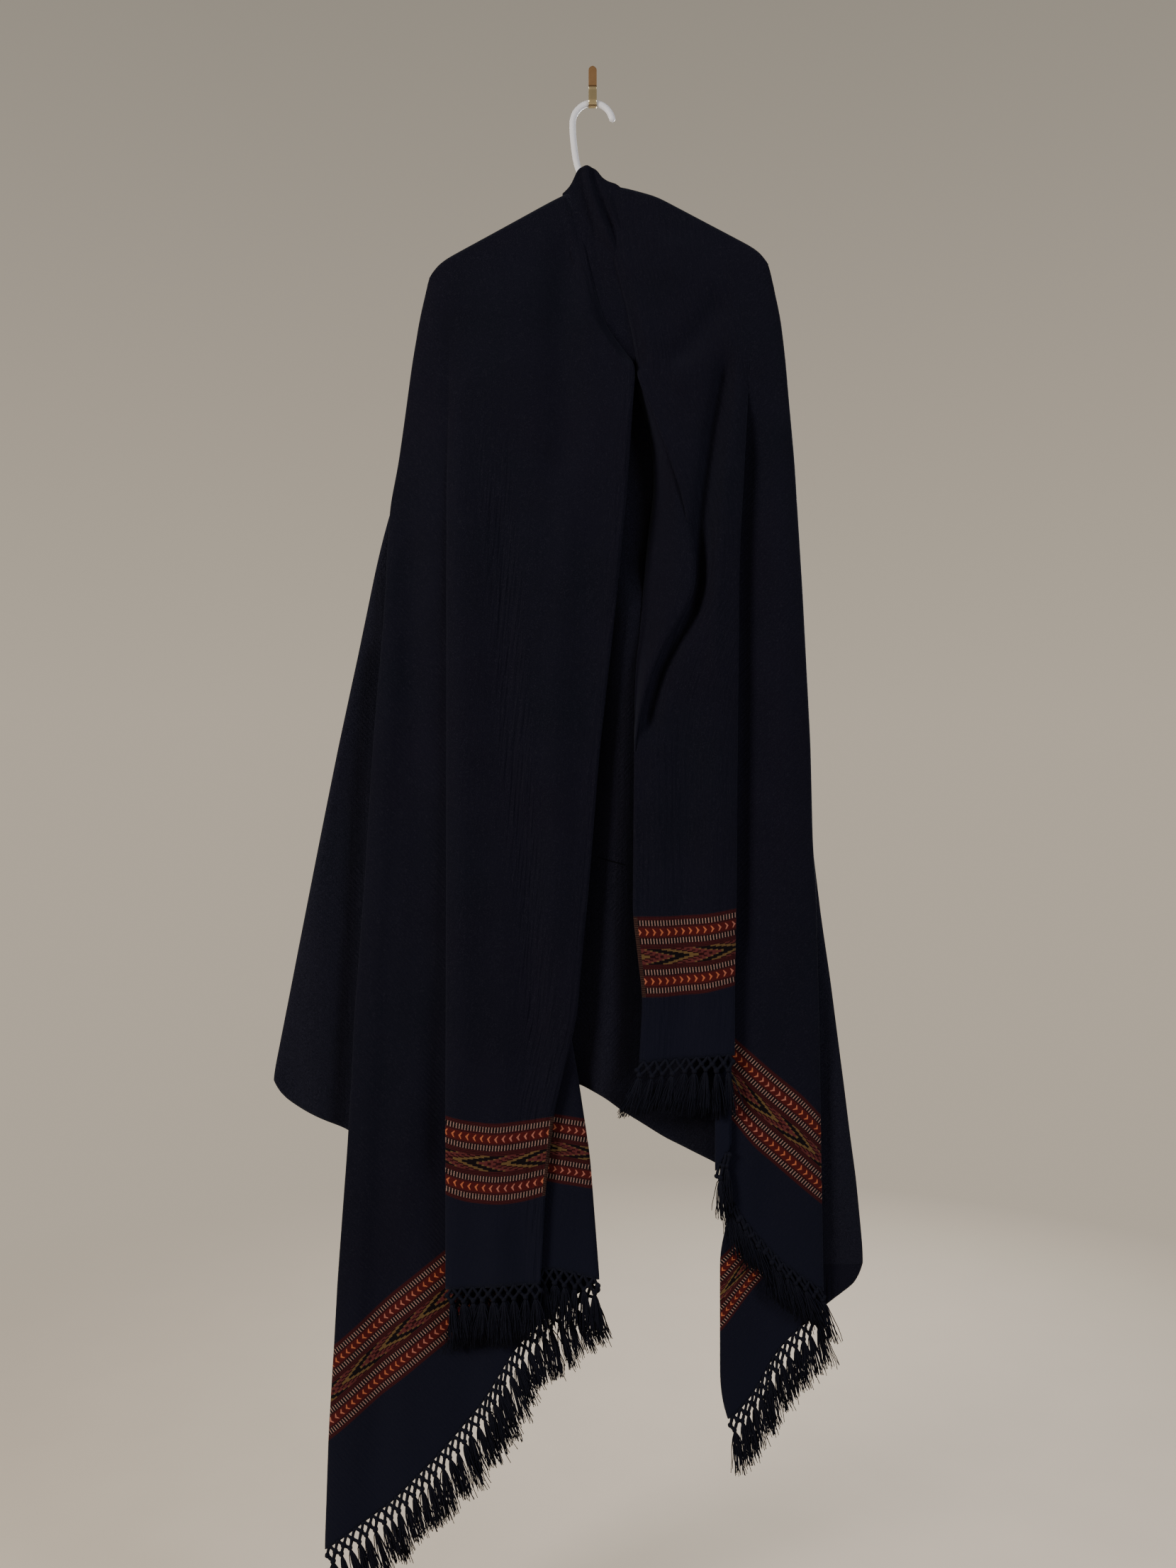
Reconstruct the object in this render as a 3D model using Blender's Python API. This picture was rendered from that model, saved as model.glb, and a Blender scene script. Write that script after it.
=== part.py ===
"""A wool shawl hung open on a plastic hanger, which hangs on a small brass wall hook.

Metres, +Z up. The wall is the plane y = 0 and everything stands out from it towards -Y. The origin
is on the back face of the wall hook's plate. "Out" is always the distance from the wall, so y = -out.

The shawl is one rectangle of cloth. Its back hangs from the hanger's arms with the length of the
cloth running across, and each end comes forward over an arm and falls in pleats that lie one behind
the other. Each flat stretch between two folds is its own solid. A stretch is a table with a row for
each level: its left and right edges, how far out it lies, and how far its folded edge has curled.
"""
import math

import bmesh
import bpy
from mathutils import Vector

# ---- driving dimensions -------------------------------------------------------------------------
WALL = 0.002  # thickness of the cloth's solids
GAP = 0.0003  # clearance between neighbours

ROD_RADIUS = 0.00425  # the hanger's tube
ARM_OUT = 0.022  # how far the hanger's arms stand out from the wall
HOOK_OUT = 0.008  # the same for the hanger's hook
HOOK_RADIUS = 0.027
HOOK_CENTRE_Z = -0.0590
SHOULDER_OUT = 0.0060  # from an arm's middle line to the cloth's middle surface, level
SHOULDER_RISE = 0.0079  # and upright, where the slope of the arm makes it more

PLATE_WIDTH = 0.011  # the wall hook, bent from one strip
PLATE_THICK = 0.0015
PLATE_TOP_Z = 0.021
LIP_TOP_Z = -0.0145
CROOK_RADIUS = HOOK_OUT - PLATE_THICK  # inside the bend that carries the hanger
INNER_RADIUS = HOOK_RADIUS - ROD_RADIUS
# The ring falls away from its top across the width of the crook.
RING_DROP = INNER_RADIUS - math.sqrt(INNER_RADIUS**2 - (PLATE_WIDTH / 2) ** 2)
CROOK_Z = HOOK_CENTRE_Z + INNER_RADIUS - RING_DROP - GAP + CROOK_RADIUS

FRINGE_REACH = 0.078  # knots and tassels together
FRINGE_THICK = 0.004
FRINGE_DROP = 0.0006  # from the cloth's edge to the fringe's solid

LEFT, RIGHT = -1, 1
CURL_STEPS = 4  # columns in a folded edge
SHOULDER_STEPS = 6  # rows over a hanger arm
LEAST_STEP = 0.012  # between two rows, as a share of the height

# ---- the hanger's outline, as x and z -----------------------------------------------------------
ARM_LINE = [
    (-0.203, -0.2640),
    (-0.198, -0.2590),
    (-0.107, -0.2085),
    (-0.055, -0.1795),
    (-0.022, -0.1630),
    (0.008, -0.1575),
    (0.040, -0.1605),
    (0.084, -0.1725),
    (0.174, -0.2205),
    (0.216, -0.2430),
    (0.221, -0.2480),
]
BAR_Z = -0.287
# x, z, out: from the end of the hook's arc down to the arms.
STEM = [
    (-0.0268, -0.0750, 0.0085),
    (-0.0248, -0.1000, 0.0120),
    (-0.0212, -0.1200, 0.0165),
    (-0.0150, -0.1360, 0.0200),
    (-0.0040, -0.1475, 0.0220),
]

# ---- the cloth's lower edges, as x and z --------------------------------------------------------
LEFT_FRONT_END = [(-0.192, -1.603), (-0.068, -1.595)]
LEFT_RETURN_END = [(-0.186, -1.592), (-0.057, -1.577), (0.010, -1.594)]
LEFT_MIDDLE_END = [
    (-0.352, -1.952),
    (-0.267, -1.891),
    (-0.198, -1.821),
    (-0.143, -1.757),
    (-0.107, -1.693),
    (-0.065, -1.648),
    (-0.037, -1.624),
    (0.010, -1.597),
]
LEFT_UNDER_HEM = [(-0.352, -1.940), (-0.100, -1.580)]
LEFT_SIDE_HEM = [
    (-0.424, -1.330),
    (-0.412, -1.352),
    (-0.396, -1.365),
    (-0.324, -1.398),
    (-0.240, -1.455),
    (-0.100, -1.575),
]
RIGHT_FRONT_END = [(0.060, -1.307), (0.185, -1.297)]
RIGHT_RETURN_END = [(0.160, -1.452), (0.186, -1.410)]
RIGHT_MIDDLE_END = [(0.161, -1.462), (0.205, -1.525), (0.247, -1.572), (0.306, -1.613)]
RIGHT_UNDER_END = [
    (0.164, -1.786),
    (0.182, -1.784),
    (0.217, -1.744),
    (0.239, -1.700),
    (0.258, -1.676),
    (0.306, -1.630),
]
RIGHT_SIDE_HEM = [
    (0.170, -1.765),
    (0.248, -1.690),
    (0.311, -1.631),
    (0.338, -1.609),
    (0.351, -1.597),
    (0.359, -1.570),
]
BACK_HEM = [
    (-0.424, -1.335),
    (-0.019, -1.341),
    (0.018, -1.358),
    (0.038, -1.376),
    (0.098, -1.417),
    (0.164, -1.449),
    (0.360, -1.590),
]
NECK_TOP = [(-0.026, -0.143), (-0.020, -0.131), (0.006, -0.128), (0.013, -0.138), (0.019, -0.143)]

# ---- the stretches of cloth ---------------------------------------------------------------------
# Columns: z, left x, right x, out, curl in degrees, radius of the fold.
LEFT_FRONT = [
    (-0.150, -0.1910, -0.026, 0.0280, 0, 0.0045),
    (-0.180, -0.1910, -0.022, 0.0300, 0, 0.0045),
    (-0.240, -0.1910, -0.008, 0.0340, 0, 0.0045),
    (-0.330, -0.1910, 0.014, 0.0380, 20, 0.0045),
    (-0.389, -0.1910, 0.057, 0.0420, 90, 0.0045),
    (-0.460, -0.1910, 0.052, 0.0450, 170, 0.0045),
    (-0.560, -0.1910, 0.045, 0.0480, 180, 0.0045),
    (-0.720, -0.1910, 0.029, 0.0500, 180, 0.0045),
    (-0.900, -0.1910, 0.009, 0.0520, 180, 0.0045),
    (-1.065, -0.1910, -0.004, 0.0530, 180, 0.0045),
    (-1.250, -0.1915, -0.021, 0.0530, 180, 0.0045),
    (-1.370, -0.1920, -0.050, 0.0530, 180, 0.0045),
    (-1.480, -0.1920, -0.062, 0.0530, 180, 0.0045),
    (-1.610, -0.1920, -0.069, 0.0530, 180, 0.0045),
]
LEFT_RETURN = [
    (-0.520, -0.1848, -0.168, 0.0380, 180, 0.0020),
    (-0.620, -0.1848, -0.148, 0.0400, 180, 0.0030),
    (-0.890, -0.1848, -0.098, 0.0435, 180, 0.0040),
    (-1.250, -0.1852, -0.033, 0.0440, 180, 0.0040),
    (-1.332, -0.1855, -0.019, 0.0440, 180, 0.0040),
    (-1.432, -0.1855, -0.004, 0.0440, 180, 0.0040),
    (-1.600, -0.1855, 0.009, 0.0440, 180, 0.0040),
]
LEFT_MIDDLE = [
    (-0.255, -0.2040, -0.1915, 0.0280, 0, 0.0035),
    (-0.290, -0.2210, -0.1915, 0.0290, 50, 0.0040),
    (-0.330, -0.2270, -0.1915, 0.0300, 150, 0.0062),
    (-0.390, -0.2370, -0.1915, 0.0310, 180, 0.0070),
    (-0.460, -0.2480, -0.1840, 0.0310, 180, 0.0075),
    (-0.560, -0.2630, -0.1650, 0.0320, 180, 0.0080),
    (-0.620, -0.2690, -0.1530, 0.0330, 180, 0.0045),
    (-0.720, -0.2750, -0.1350, 0.0340, 180, 0.0040),
    (-0.890, -0.2890, -0.1030, 0.0355, 180, 0.0040),
    (-1.070, -0.3000, -0.0720, 0.0360, 180, 0.0040),
    (-1.250, -0.3140, -0.0380, 0.0360, 180, 0.0040),
    (-1.332, -0.3175, -0.0240, 0.0360, 180, 0.0040),
    (-1.432, -0.3220, -0.0090, 0.0360, 180, 0.0040),
    (-1.600, -0.3330, 0.0040, 0.0360, 180, 0.0040),
    (-1.680, -0.3370, 0.0050, 0.0360, 180, 0.0040),
    (-1.800, -0.3450, 0.0050, 0.0360, 180, 0.0040),
    (-1.950, -0.3500, 0.0050, 0.0360, 180, 0.0040),
]
LEFT_UNDER = [
    (-0.720, -0.2680, -0.245, 0.0260, 180, 0.0030),
    (-0.890, -0.2825, -0.212, 0.0275, 180, 0.0040),
    (-1.070, -0.2935, -0.173, 0.0280, 180, 0.0040),
    (-1.332, -0.3110, -0.122, 0.0280, 180, 0.0040),
    (-1.580, -0.3255, -0.095, 0.0280, 180, 0.0040),
    (-1.950, -0.3430, -0.095, 0.0280, 180, 0.0040),
]
LEFT_SIDE = [
    (-0.660, -0.2860, -0.262, 0.0200, 180, 0.0040),
    (-0.720, -0.3000, -0.249, 0.0200, 180, 0.0040),
    (-0.890, -0.3350, -0.217, 0.0195, 180, 0.0045),
    (-0.990, -0.3550, -0.195, 0.0195, 180, 0.0048),
    (-1.160, -0.3890, -0.160, 0.0200, 180, 0.0055),
    (-1.334, -0.4230, -0.127, 0.0200, 180, 0.0060),
    (-1.600, -0.4230, -0.100, 0.0200, 180, 0.0060),
]
RIGHT_FRONT = [
    (-0.150, 0.0190, 0.2060, 0.0280, 0, 0.0040),
    (-0.200, 0.0200, 0.2060, 0.0300, 0, 0.0040),
    (-0.251, 0.0270, 0.2060, 0.0330, 0, 0.0040),
    (-0.331, 0.0490, 0.2060, 0.0370, 0, 0.0040),
    (-0.386, 0.0640, 0.2060, 0.0410, 20, 0.0040),
    (-0.425, 0.0610, 0.2040, 0.0430, 90, 0.0040),
    (-0.515, 0.0900, 0.1990, 0.0460, 170, 0.0040),
    (-0.639, 0.1290, 0.1920, 0.0490, 180, 0.0040),
    (-0.689, 0.1310, 0.1910, 0.0495, 180, 0.0040),
    (-0.729, 0.1100, 0.1910, 0.0500, 180, 0.0040),
    (-0.814, 0.0710, 0.1900, 0.0510, 180, 0.0040),
    (-0.888, 0.0540, 0.1890, 0.0520, 180, 0.0040),
    (-1.112, 0.0520, 0.1870, 0.0530, 180, 0.0040),
    (-1.222, 0.0650, 0.1850, 0.0530, 180, 0.0040),
    (-1.310, 0.0600, 0.1850, 0.0530, 180, 0.0040),
]
RIGHT_LAPEL = [
    (-0.530, 0.0870, 0.0985, 0.0439, 0, 0.0040),
    (-0.600, 0.0850, 0.1205, 0.0456, 0, 0.0040),
    (-0.660, 0.0800, 0.1340, 0.0467, 0, 0.0040),
    (-0.689, 0.0770, 0.1350, 0.0470, 0, 0.0040),
    (-0.729, 0.0730, 0.1140, 0.0475, 0, 0.0040),
    (-0.800, 0.0660, 0.0820, 0.0483, 0, 0.0040),
    (-0.840, 0.0600, 0.0690, 0.0489, 0, 0.0040),
]
RIGHT_RETURN = [
    (-0.600, 0.1700, 0.1880, 0.0405, 180, 0.0035),
    (-0.720, 0.1670, 0.1850, 0.0420, 180, 0.0040),
    (-0.900, 0.1630, 0.1830, 0.0435, 180, 0.0040),
    (-1.120, 0.1615, 0.1812, 0.0450, 180, 0.0040),
    (-1.300, 0.1610, 0.1792, 0.0450, 180, 0.0040),
    (-1.460, 0.1610, 0.1792, 0.0450, 180, 0.0040),
]
RIGHT_MIDDLE = [
    (-0.243, 0.2065, 0.2240, 0.0280, 0, 0.0035),
    (-0.270, 0.2065, 0.2350, 0.0286, 25, 0.0038),
    (-0.300, 0.2065, 0.2450, 0.0292, 90, 0.0045),
    (-0.387, 0.2065, 0.2550, 0.0300, 180, 0.0070),
    (-0.427, 0.2050, 0.2590, 0.0300, 180, 0.0072),
    (-0.515, 0.1950, 0.2670, 0.0310, 180, 0.0080),
    (-0.684, 0.1740, 0.2750, 0.0330, 180, 0.0100),
    (-0.891, 0.1690, 0.2880, 0.0355, 180, 0.0120),
    (-1.020, 0.1678, 0.2910, 0.0370, 180, 0.0125),
    (-1.077, 0.1675, 0.2940, 0.0370, 180, 0.0060),
    (-1.120, 0.1675, 0.2950, 0.0370, 180, 0.0040),
    (-1.284, 0.1675, 0.2990, 0.0370, 180, 0.0040),
    (-1.440, 0.1675, 0.3010, 0.0370, 180, 0.0040),
    (-1.620, 0.1675, 0.3040, 0.0370, 180, 0.0040),
]
RIGHT_UNDER = [
    (-1.170, 0.2600, 0.2910, 0.0280, 180, 0.0030),
    (-1.350, 0.2170, 0.2950, 0.0290, 180, 0.0040),
    (-1.564, 0.1690, 0.2980, 0.0290, 180, 0.0040),
    (-1.760, 0.1690, 0.3000, 0.0290, 180, 0.0040),
    (-1.800, 0.1740, 0.3000, 0.0290, 180, 0.0040),
]
RIGHT_SIDE = [
    (-1.120, 0.2760, 0.3030, 0.0210, 180, 0.0055),
    (-1.204, 0.2562, 0.3160, 0.0210, 180, 0.0060),
    (-1.350, 0.2222, 0.3350, 0.0210, 180, 0.0065),
    (-1.408, 0.2092, 0.3420, 0.0210, 180, 0.0065),
    (-1.470, 0.1957, 0.3490, 0.0210, 180, 0.0065),
    (-1.564, 0.1742, 0.3580, 0.0210, 180, 0.0065),
    (-1.800, 0.1805, 0.3580, 0.0210, 180, 0.0065),
]
BACK_PANEL = [
    (-0.150, -0.1980, 0.2180, 0.0160, 0, 0.0040),
    (-0.262, -0.1990, 0.2190, 0.0160, 0, 0.0040),
    (-0.300, -0.2160, 0.2360, 0.0160, 0, 0.0040),
    (-0.390, -0.2280, 0.2460, 0.0160, 0, 0.0040),
    (-0.515, -0.2470, 0.2570, 0.0150, 0, 0.0040),
    (-0.620, -0.2620, 0.2600, 0.0135, 0, 0.0040),
    (-0.720, -0.2935, 0.2640, 0.0120, 0, 0.0040),
    (-0.890, -0.3285, 0.2735, 0.0105, 0, 0.0040),
    (-1.020, -0.3545, 0.2760, 0.0100, 0, 0.0040),
    (-1.120, -0.3740, 0.2940, 0.0095, 0, 0.0040),
    (-1.204, -0.3900, 0.3075, 0.0085, 0, 0.0040),
    (-1.334, -0.4150, 0.3235, 0.0080, 0, 0.0040),
    (-1.600, -0.4150, 0.3495, 0.0080, 0, 0.0040),
]
NECK_GATHER = [
    (-0.128, -0.0240, 0.0170, 0.0280, 0, 0.0040),
    (-0.165, -0.0222, 0.0170, 0.0280, 0, 0.0040),
    (-0.180, -0.0205, 0.0172, 0.0280, 0, 0.0040),
    (-0.210, -0.0190, 0.0190, 0.0280, 0, 0.0040),
    (-0.245, -0.0180, 0.0330, 0.0280, 0, 0.0040),
    (-0.331, 0.0000, 0.0620, 0.0300, 0, 0.0040),
    (-0.389, 0.0380, 0.0780, 0.0330, 0, 0.0040),
    (-0.425, 0.0450, 0.0760, 0.0350, 0, 0.0040),
]

# Name: table, folded side, upper edge, lower edge, straight columns, whether it crosses an arm.
STRETCHES = {
    "back_panel": (BACK_PANEL, None, "arm", BACK_HEM, 14, False),
    "neck_gather": (NECK_GATHER, None, NECK_TOP, None, 4, False),
    "left_front": (LEFT_FRONT, LEFT, "arm", LEFT_FRONT_END, 7, True),
    "left_return": (LEFT_RETURN, RIGHT, None, LEFT_RETURN_END, 4, False),
    "left_middle": (LEFT_MIDDLE, LEFT, "arm", LEFT_MIDDLE_END, 8, True),
    "left_under": (LEFT_UNDER, RIGHT, None, LEFT_UNDER_HEM, 4, False),
    "left_side": (LEFT_SIDE, LEFT, None, LEFT_SIDE_HEM, 6, False),
    "right_front": (RIGHT_FRONT, RIGHT, "arm", RIGHT_FRONT_END, 6, True),
    "right_lapel": (RIGHT_LAPEL, None, None, None, 3, False),
    "right_return": (RIGHT_RETURN, LEFT, None, RIGHT_RETURN_END, 2, False),
    "right_middle": (RIGHT_MIDDLE, RIGHT, "arm", RIGHT_MIDDLE_END, 5, True),
    "right_under": (RIGHT_UNDER, LEFT, None, RIGHT_UNDER_END, 4, False),
    "right_side": (RIGHT_SIDE, RIGHT, None, RIGHT_SIDE_HEM, 4, False),
}
# Stretches whose lower edge is a fringed end of the cloth.
FRINGED = (
    "left_front",
    "left_return",
    "left_middle",
    "right_front",
    "right_return",
    "right_middle",
    "right_under",
)


def clear_scene():
    for existing in list(bpy.data.objects):
        bpy.data.objects.remove(existing, do_unlink=True)


def make_material(name, colour, roughness, metallic=0.0):
    material = bpy.data.materials.new(name)
    material.use_nodes = True
    shader = material.node_tree.nodes["Principled BSDF"]
    shader.inputs["Base Color"].default_value = (*colour, 1.0)
    shader.inputs["Roughness"].default_value = roughness
    shader.inputs["Metallic"].default_value = metallic
    return material


def add_object(name, mesh, material):
    mesh.materials.append(material)
    mesh.shade_smooth()
    mesh.set_sharp_from_angle(angle=math.radians(40))
    made = bpy.data.objects.new(name, mesh)
    bpy.context.collection.objects.link(made)
    return made


# ---- reading the tables -------------------------------------------------------------------------
def line_z(line, x):
    """Height of a polyline of (x, z) at x, level beyond its ends."""
    if x <= line[0][0]:
        return line[0][1]
    for (x0, z0), (x1, z1) in zip(line, line[1:]):
        if x <= x1:
            return z0 + (z1 - z0) * (x - x0) / (x1 - x0)
    return line[-1][1]


def row_at(table, z):
    """The table's columns after z, at the level z."""
    if z >= table[0][0]:
        return table[0][1:]
    for upper, lower in zip(table, table[1:]):
        if z >= lower[0]:
            share = (upper[0] - z) / (upper[0] - lower[0])
            return [a + (b - a) * share for a, b in zip(upper[1:], lower[1:])]
    return table[-1][1:]


def across(table, folded, column, z):
    """x and out at a level. Columns 0 to 1 run to where the curl starts, and 1 to 2 through it."""
    left, right, out, curl, radius = row_at(table, z)
    if folded is None:
        return left + (right - left) * column, out
    free, edge = (right, left) if folded == LEFT else (left, right)
    length = math.pi * radius
    turn = math.radians(max(curl, 0.5))
    bend = length / turn  # radius of the curl as far as it has closed
    start = edge - folded * bend * math.sin(min(turn, math.pi / 2))
    if column <= 1:
        return free + (start - free) * column, out
    angle = turn * (column - 1)
    return start + folded * bend * math.sin(angle), out - bend * (1 - math.cos(angle))


def meet(table, folded, column, line, above, below):
    """The level where a column meets a polyline, found by halving."""
    for _ in range(40):
        middle = (above + below) / 2
        x, _out = across(table, folded, column, middle)
        if middle > line_z(line, x):
            above = middle
        else:
            below = middle
    return (above + below) / 2


def row_shares(table, tops, ends):
    """How far down each row of the mesh lies, from the table's levels along both side edges."""
    wanted = [0.0, 1.0]
    for top, end in zip(tops, ends):
        wanted += [(top - z) / (top - end) for z, *_rest in table if end < z < top]
    shares = [0.0]
    for share in sorted(wanted):
        if share - shares[-1] > LEAST_STEP and (share == 1.0 or share < 1.0 - LEAST_STEP):
            shares.append(share)
    return shares


def stretch_grid(table, folded, upper, lower, straight, over_arm):
    """Rows of points on the middle surface of one stretch of cloth, top to bottom."""
    columns = [i / straight for i in range(straight + 1)]
    if folded is not None:
        columns += [1 + i / CURL_STEPS for i in range(1, CURL_STEPS + 1)]
    top_z, end_z = table[0][0] + 0.05, table[-1][0] - 0.05
    top_line = upper
    if upper == "arm":
        top_line = ARM_LINE if over_arm else [(x, z - WALL) for x, z in ARM_LINE]
    tops = [meet(table, folded, c, top_line, top_z, end_z) if top_line else table[0][0] for c in columns]
    ends = [meet(table, folded, c, lower, top_z, end_z) if lower else table[-1][0] for c in columns]
    shares = row_shares(table, (tops[0], tops[-1]), (ends[0], ends[-1]))
    rows = []
    if over_arm:
        for step in range(SHOULDER_STEPS):
            angle = math.pi * (1 - step / SHOULDER_STEPS)
            row = []
            for column, top in zip(columns, tops):
                x, _out = across(table, folded, column, top)
                out = ARM_OUT + SHOULDER_OUT * math.cos(angle)
                row.append(Vector((x, -out, top + SHOULDER_RISE * math.sin(angle))))
            rows.append(row)
    for share in shares:
        row = []
        for column, top, end in zip(columns, tops, ends):
            z = top + (end - top) * share
            x, out = across(table, folded, column, z)
            row.append(Vector((x, -out, z)))
        rows.append(row)
    return rows


# ---- solids -------------------------------------------------------------------------------------
def add_wall(name, rows, thick, material):
    """A closed wall of the given thickness about a grid of points."""
    tall, wide = len(rows), len(rows[0])
    normals = []
    for i in range(tall):
        line = []
        for j in range(wide):
            down = rows[min(i + 1, tall - 1)][j] - rows[max(i - 1, 0)][j]
            side = rows[i][min(j + 1, wide - 1)] - rows[i][max(j - 1, 0)]
            line.append(side.cross(down).normalized())
        normals.append(line)
    mesh = bmesh.new()
    faces = []
    for sign in (1, -1):
        faces.append([
            [mesh.verts.new(rows[i][j] + normals[i][j] * sign * thick / 2) for j in range(wide)]
            for i in range(tall)
        ])
    near, far = faces
    for i in range(tall - 1):
        for j in range(wide - 1):
            mesh.faces.new((near[i][j], near[i + 1][j], near[i + 1][j + 1], near[i][j + 1]))
            mesh.faces.new((far[i][j], far[i][j + 1], far[i + 1][j + 1], far[i + 1][j]))
    rim = [(0, j) for j in range(wide)] + [(i, wide - 1) for i in range(1, tall)]
    rim += [(tall - 1, j) for j in range(wide - 2, -1, -1)] + [(i, 0) for i in range(tall - 2, 0, -1)]
    for (i0, j0), (i1, j1) in zip(rim, rim[1:] + rim[:1]):
        mesh.faces.new((near[i0][j0], near[i1][j1], far[i1][j1], far[i0][j0]))
    bmesh.ops.recalc_face_normals(mesh, faces=mesh.faces)
    bmesh.ops.triangulate(mesh, faces=mesh.faces)
    data = bpy.data.meshes.new(name)
    mesh.to_mesh(data)
    mesh.free()
    return add_object(name, data, material)


def add_fringe(name, edge, material):
    """The plain space that a fringe takes up below the edge it hangs from."""
    rows = [[point - Vector((0, 0, drop)) for point in edge] for drop in (FRINGE_DROP, FRINGE_REACH)]
    add_wall(name, rows, FRINGE_THICK, material)


def add_tube(name, points, radius, material):
    """A round tube with closed ends through (x, z, out) points."""
    curve = bpy.data.curves.new(name, "CURVE")
    curve.dimensions = "3D"
    curve.bevel_depth = radius
    curve.bevel_resolution = 3
    curve.use_fill_caps = True
    spline = curve.splines.new("POLY")
    spline.points.add(len(points) - 1)
    for point, (x, z, out) in zip(spline.points, points):
        point.co = (x, -out, z, 1.0)
    curve.materials.append(material)
    made = bpy.data.objects.new(name, curve)
    bpy.context.collection.objects.link(made)
    return made


def hanger_hook(material):
    """The open ring that hangs on the wall hook, and the stem under it."""
    turns = 16
    points = []
    for i in range(turns + 1):
        angle = math.radians(2 + 178 * i / turns)
        points.append((
            HOOK_RADIUS * math.cos(angle),
            HOOK_CENTRE_Z + HOOK_RADIUS * math.sin(angle),
            HOOK_OUT,
        ))
    add_tube("hanger_hook", points + STEM, ROD_RADIUS, material)


def hanger_frame(material):
    """The two arms and the bar that joins their ends."""
    neck_x = ARM_LINE[5][0]
    neck_z = ARM_LINE[5][1]
    left = [(x, z, ARM_OUT) for x, z in ARM_LINE if x < neck_x]
    right = [(x, z, ARM_OUT) for x, z in ARM_LINE if x > neck_x]
    left += [(neck_x - inset, neck_z, ARM_OUT) for inset in (ROD_RADIUS, GAP / 2)]
    right = [(neck_x + inset, neck_z, ARM_OUT) for inset in (GAP / 2, ROD_RADIUS)] + right
    add_tube("hanger_arm_left", left, ROD_RADIUS, material)
    add_tube("hanger_arm_right", right, ROD_RADIUS, material)
    left_tip, right_tip = ARM_LINE[0], ARM_LINE[-1]
    bar = [
        (left_tip[0] - 0.0015, left_tip[1] - 0.0060, ARM_OUT),
        (left_tip[0] - 0.0010, left_tip[1] - 0.0140, ARM_OUT),
        (left_tip[0] + 0.0050, BAR_Z + 0.0010, ARM_OUT),
        (left_tip[0] + 0.0130, BAR_Z, ARM_OUT),
        (right_tip[0] - 0.0130, BAR_Z, ARM_OUT),
        (right_tip[0] - 0.0050, BAR_Z + 0.0010, ARM_OUT),
        (right_tip[0] + 0.0008, right_tip[1] - 0.0290, ARM_OUT),
        (right_tip[0] + 0.0015, right_tip[1] - 0.0060, ARM_OUT),
    ]
    add_tube("hanger_bar", bar, ROD_RADIUS, material)


def wall_hook(material):
    """One strip: a plate on the wall, a half-round crook under it and a lip in front."""
    turns = 10
    middle = CROOK_RADIUS + PLATE_THICK / 2
    path = [(PLATE_TOP_Z, PLATE_THICK / 2), (CROOK_Z, PLATE_THICK / 2)]
    for i in range(1, turns):
        angle = math.pi * i / turns
        path.append((CROOK_Z - middle * math.sin(angle), HOOK_OUT - middle * math.cos(angle)))
    lip_out = HOOK_OUT + middle
    path += [(CROOK_Z, lip_out), (LIP_TOP_Z - 0.003, lip_out), (LIP_TOP_Z, lip_out + 0.001)]
    half = PLATE_WIDTH / 2
    rows = [[Vector((x, -out, z)) for x in (-half, half)] for z, out in path]
    made = add_wall("wall_hook", rows, PLATE_THICK, material)
    return made


def main():
    clear_scene()
    wool = make_material("wool", (0.008, 0.009, 0.014), 0.9)
    tassel = make_material("tassel_wool", (0.006, 0.007, 0.014), 0.9)
    plastic = make_material("white_plastic", (0.78, 0.80, 0.84), 0.3)
    brass = make_material("brass", (0.62, 0.43, 0.22), 0.3, 1.0)
    wall_hook(brass)
    hanger_hook(plastic)
    hanger_frame(plastic)
    for name, stretch in STRETCHES.items():
        rows = stretch_grid(*stretch)
        add_wall(name, rows, WALL, wool)
        if name in FRINGED:
            straight = stretch[4]
            add_fringe(name + "_fringe", rows[-1][: straight + 1], tassel)


main()
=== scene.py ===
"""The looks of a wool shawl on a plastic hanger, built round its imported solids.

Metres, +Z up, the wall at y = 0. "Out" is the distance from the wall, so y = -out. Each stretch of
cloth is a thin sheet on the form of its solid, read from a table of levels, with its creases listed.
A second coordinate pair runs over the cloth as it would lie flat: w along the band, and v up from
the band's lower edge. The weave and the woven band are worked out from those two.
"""
import math
import random

import bpy
import numpy as np
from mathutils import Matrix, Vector


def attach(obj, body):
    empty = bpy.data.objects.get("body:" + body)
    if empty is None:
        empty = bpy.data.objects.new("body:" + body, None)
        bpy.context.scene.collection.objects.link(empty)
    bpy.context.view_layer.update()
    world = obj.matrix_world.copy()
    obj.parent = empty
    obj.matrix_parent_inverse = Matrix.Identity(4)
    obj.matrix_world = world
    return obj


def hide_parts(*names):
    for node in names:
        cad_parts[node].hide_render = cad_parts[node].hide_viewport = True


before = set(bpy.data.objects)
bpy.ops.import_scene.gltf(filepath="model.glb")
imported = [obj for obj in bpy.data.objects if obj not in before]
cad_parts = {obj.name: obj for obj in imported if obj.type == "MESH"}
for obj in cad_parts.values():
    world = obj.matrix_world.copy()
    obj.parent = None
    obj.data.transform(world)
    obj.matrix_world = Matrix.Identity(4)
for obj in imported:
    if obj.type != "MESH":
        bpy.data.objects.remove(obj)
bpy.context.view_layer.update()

# ---- sizes shared with the solids
CLOTH = 0.0012  # thickness of the cloth
ROD_RADIUS = 0.00425
ARM_OUT = 0.022
HOOK_OUT = 0.008
HOOK_RADIUS = 0.027  # of the crook, to the middle of the rod
HOOK_CENTRE_Z = -0.059
SHOULDER_OUT = 0.006  # how far the cloth goes behind the middle of an arm
SHOULDER_RISE = 0.0079  # and over it
PLATE_WIDTH = 0.011
PLATE_THICK = 0.0015
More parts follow.
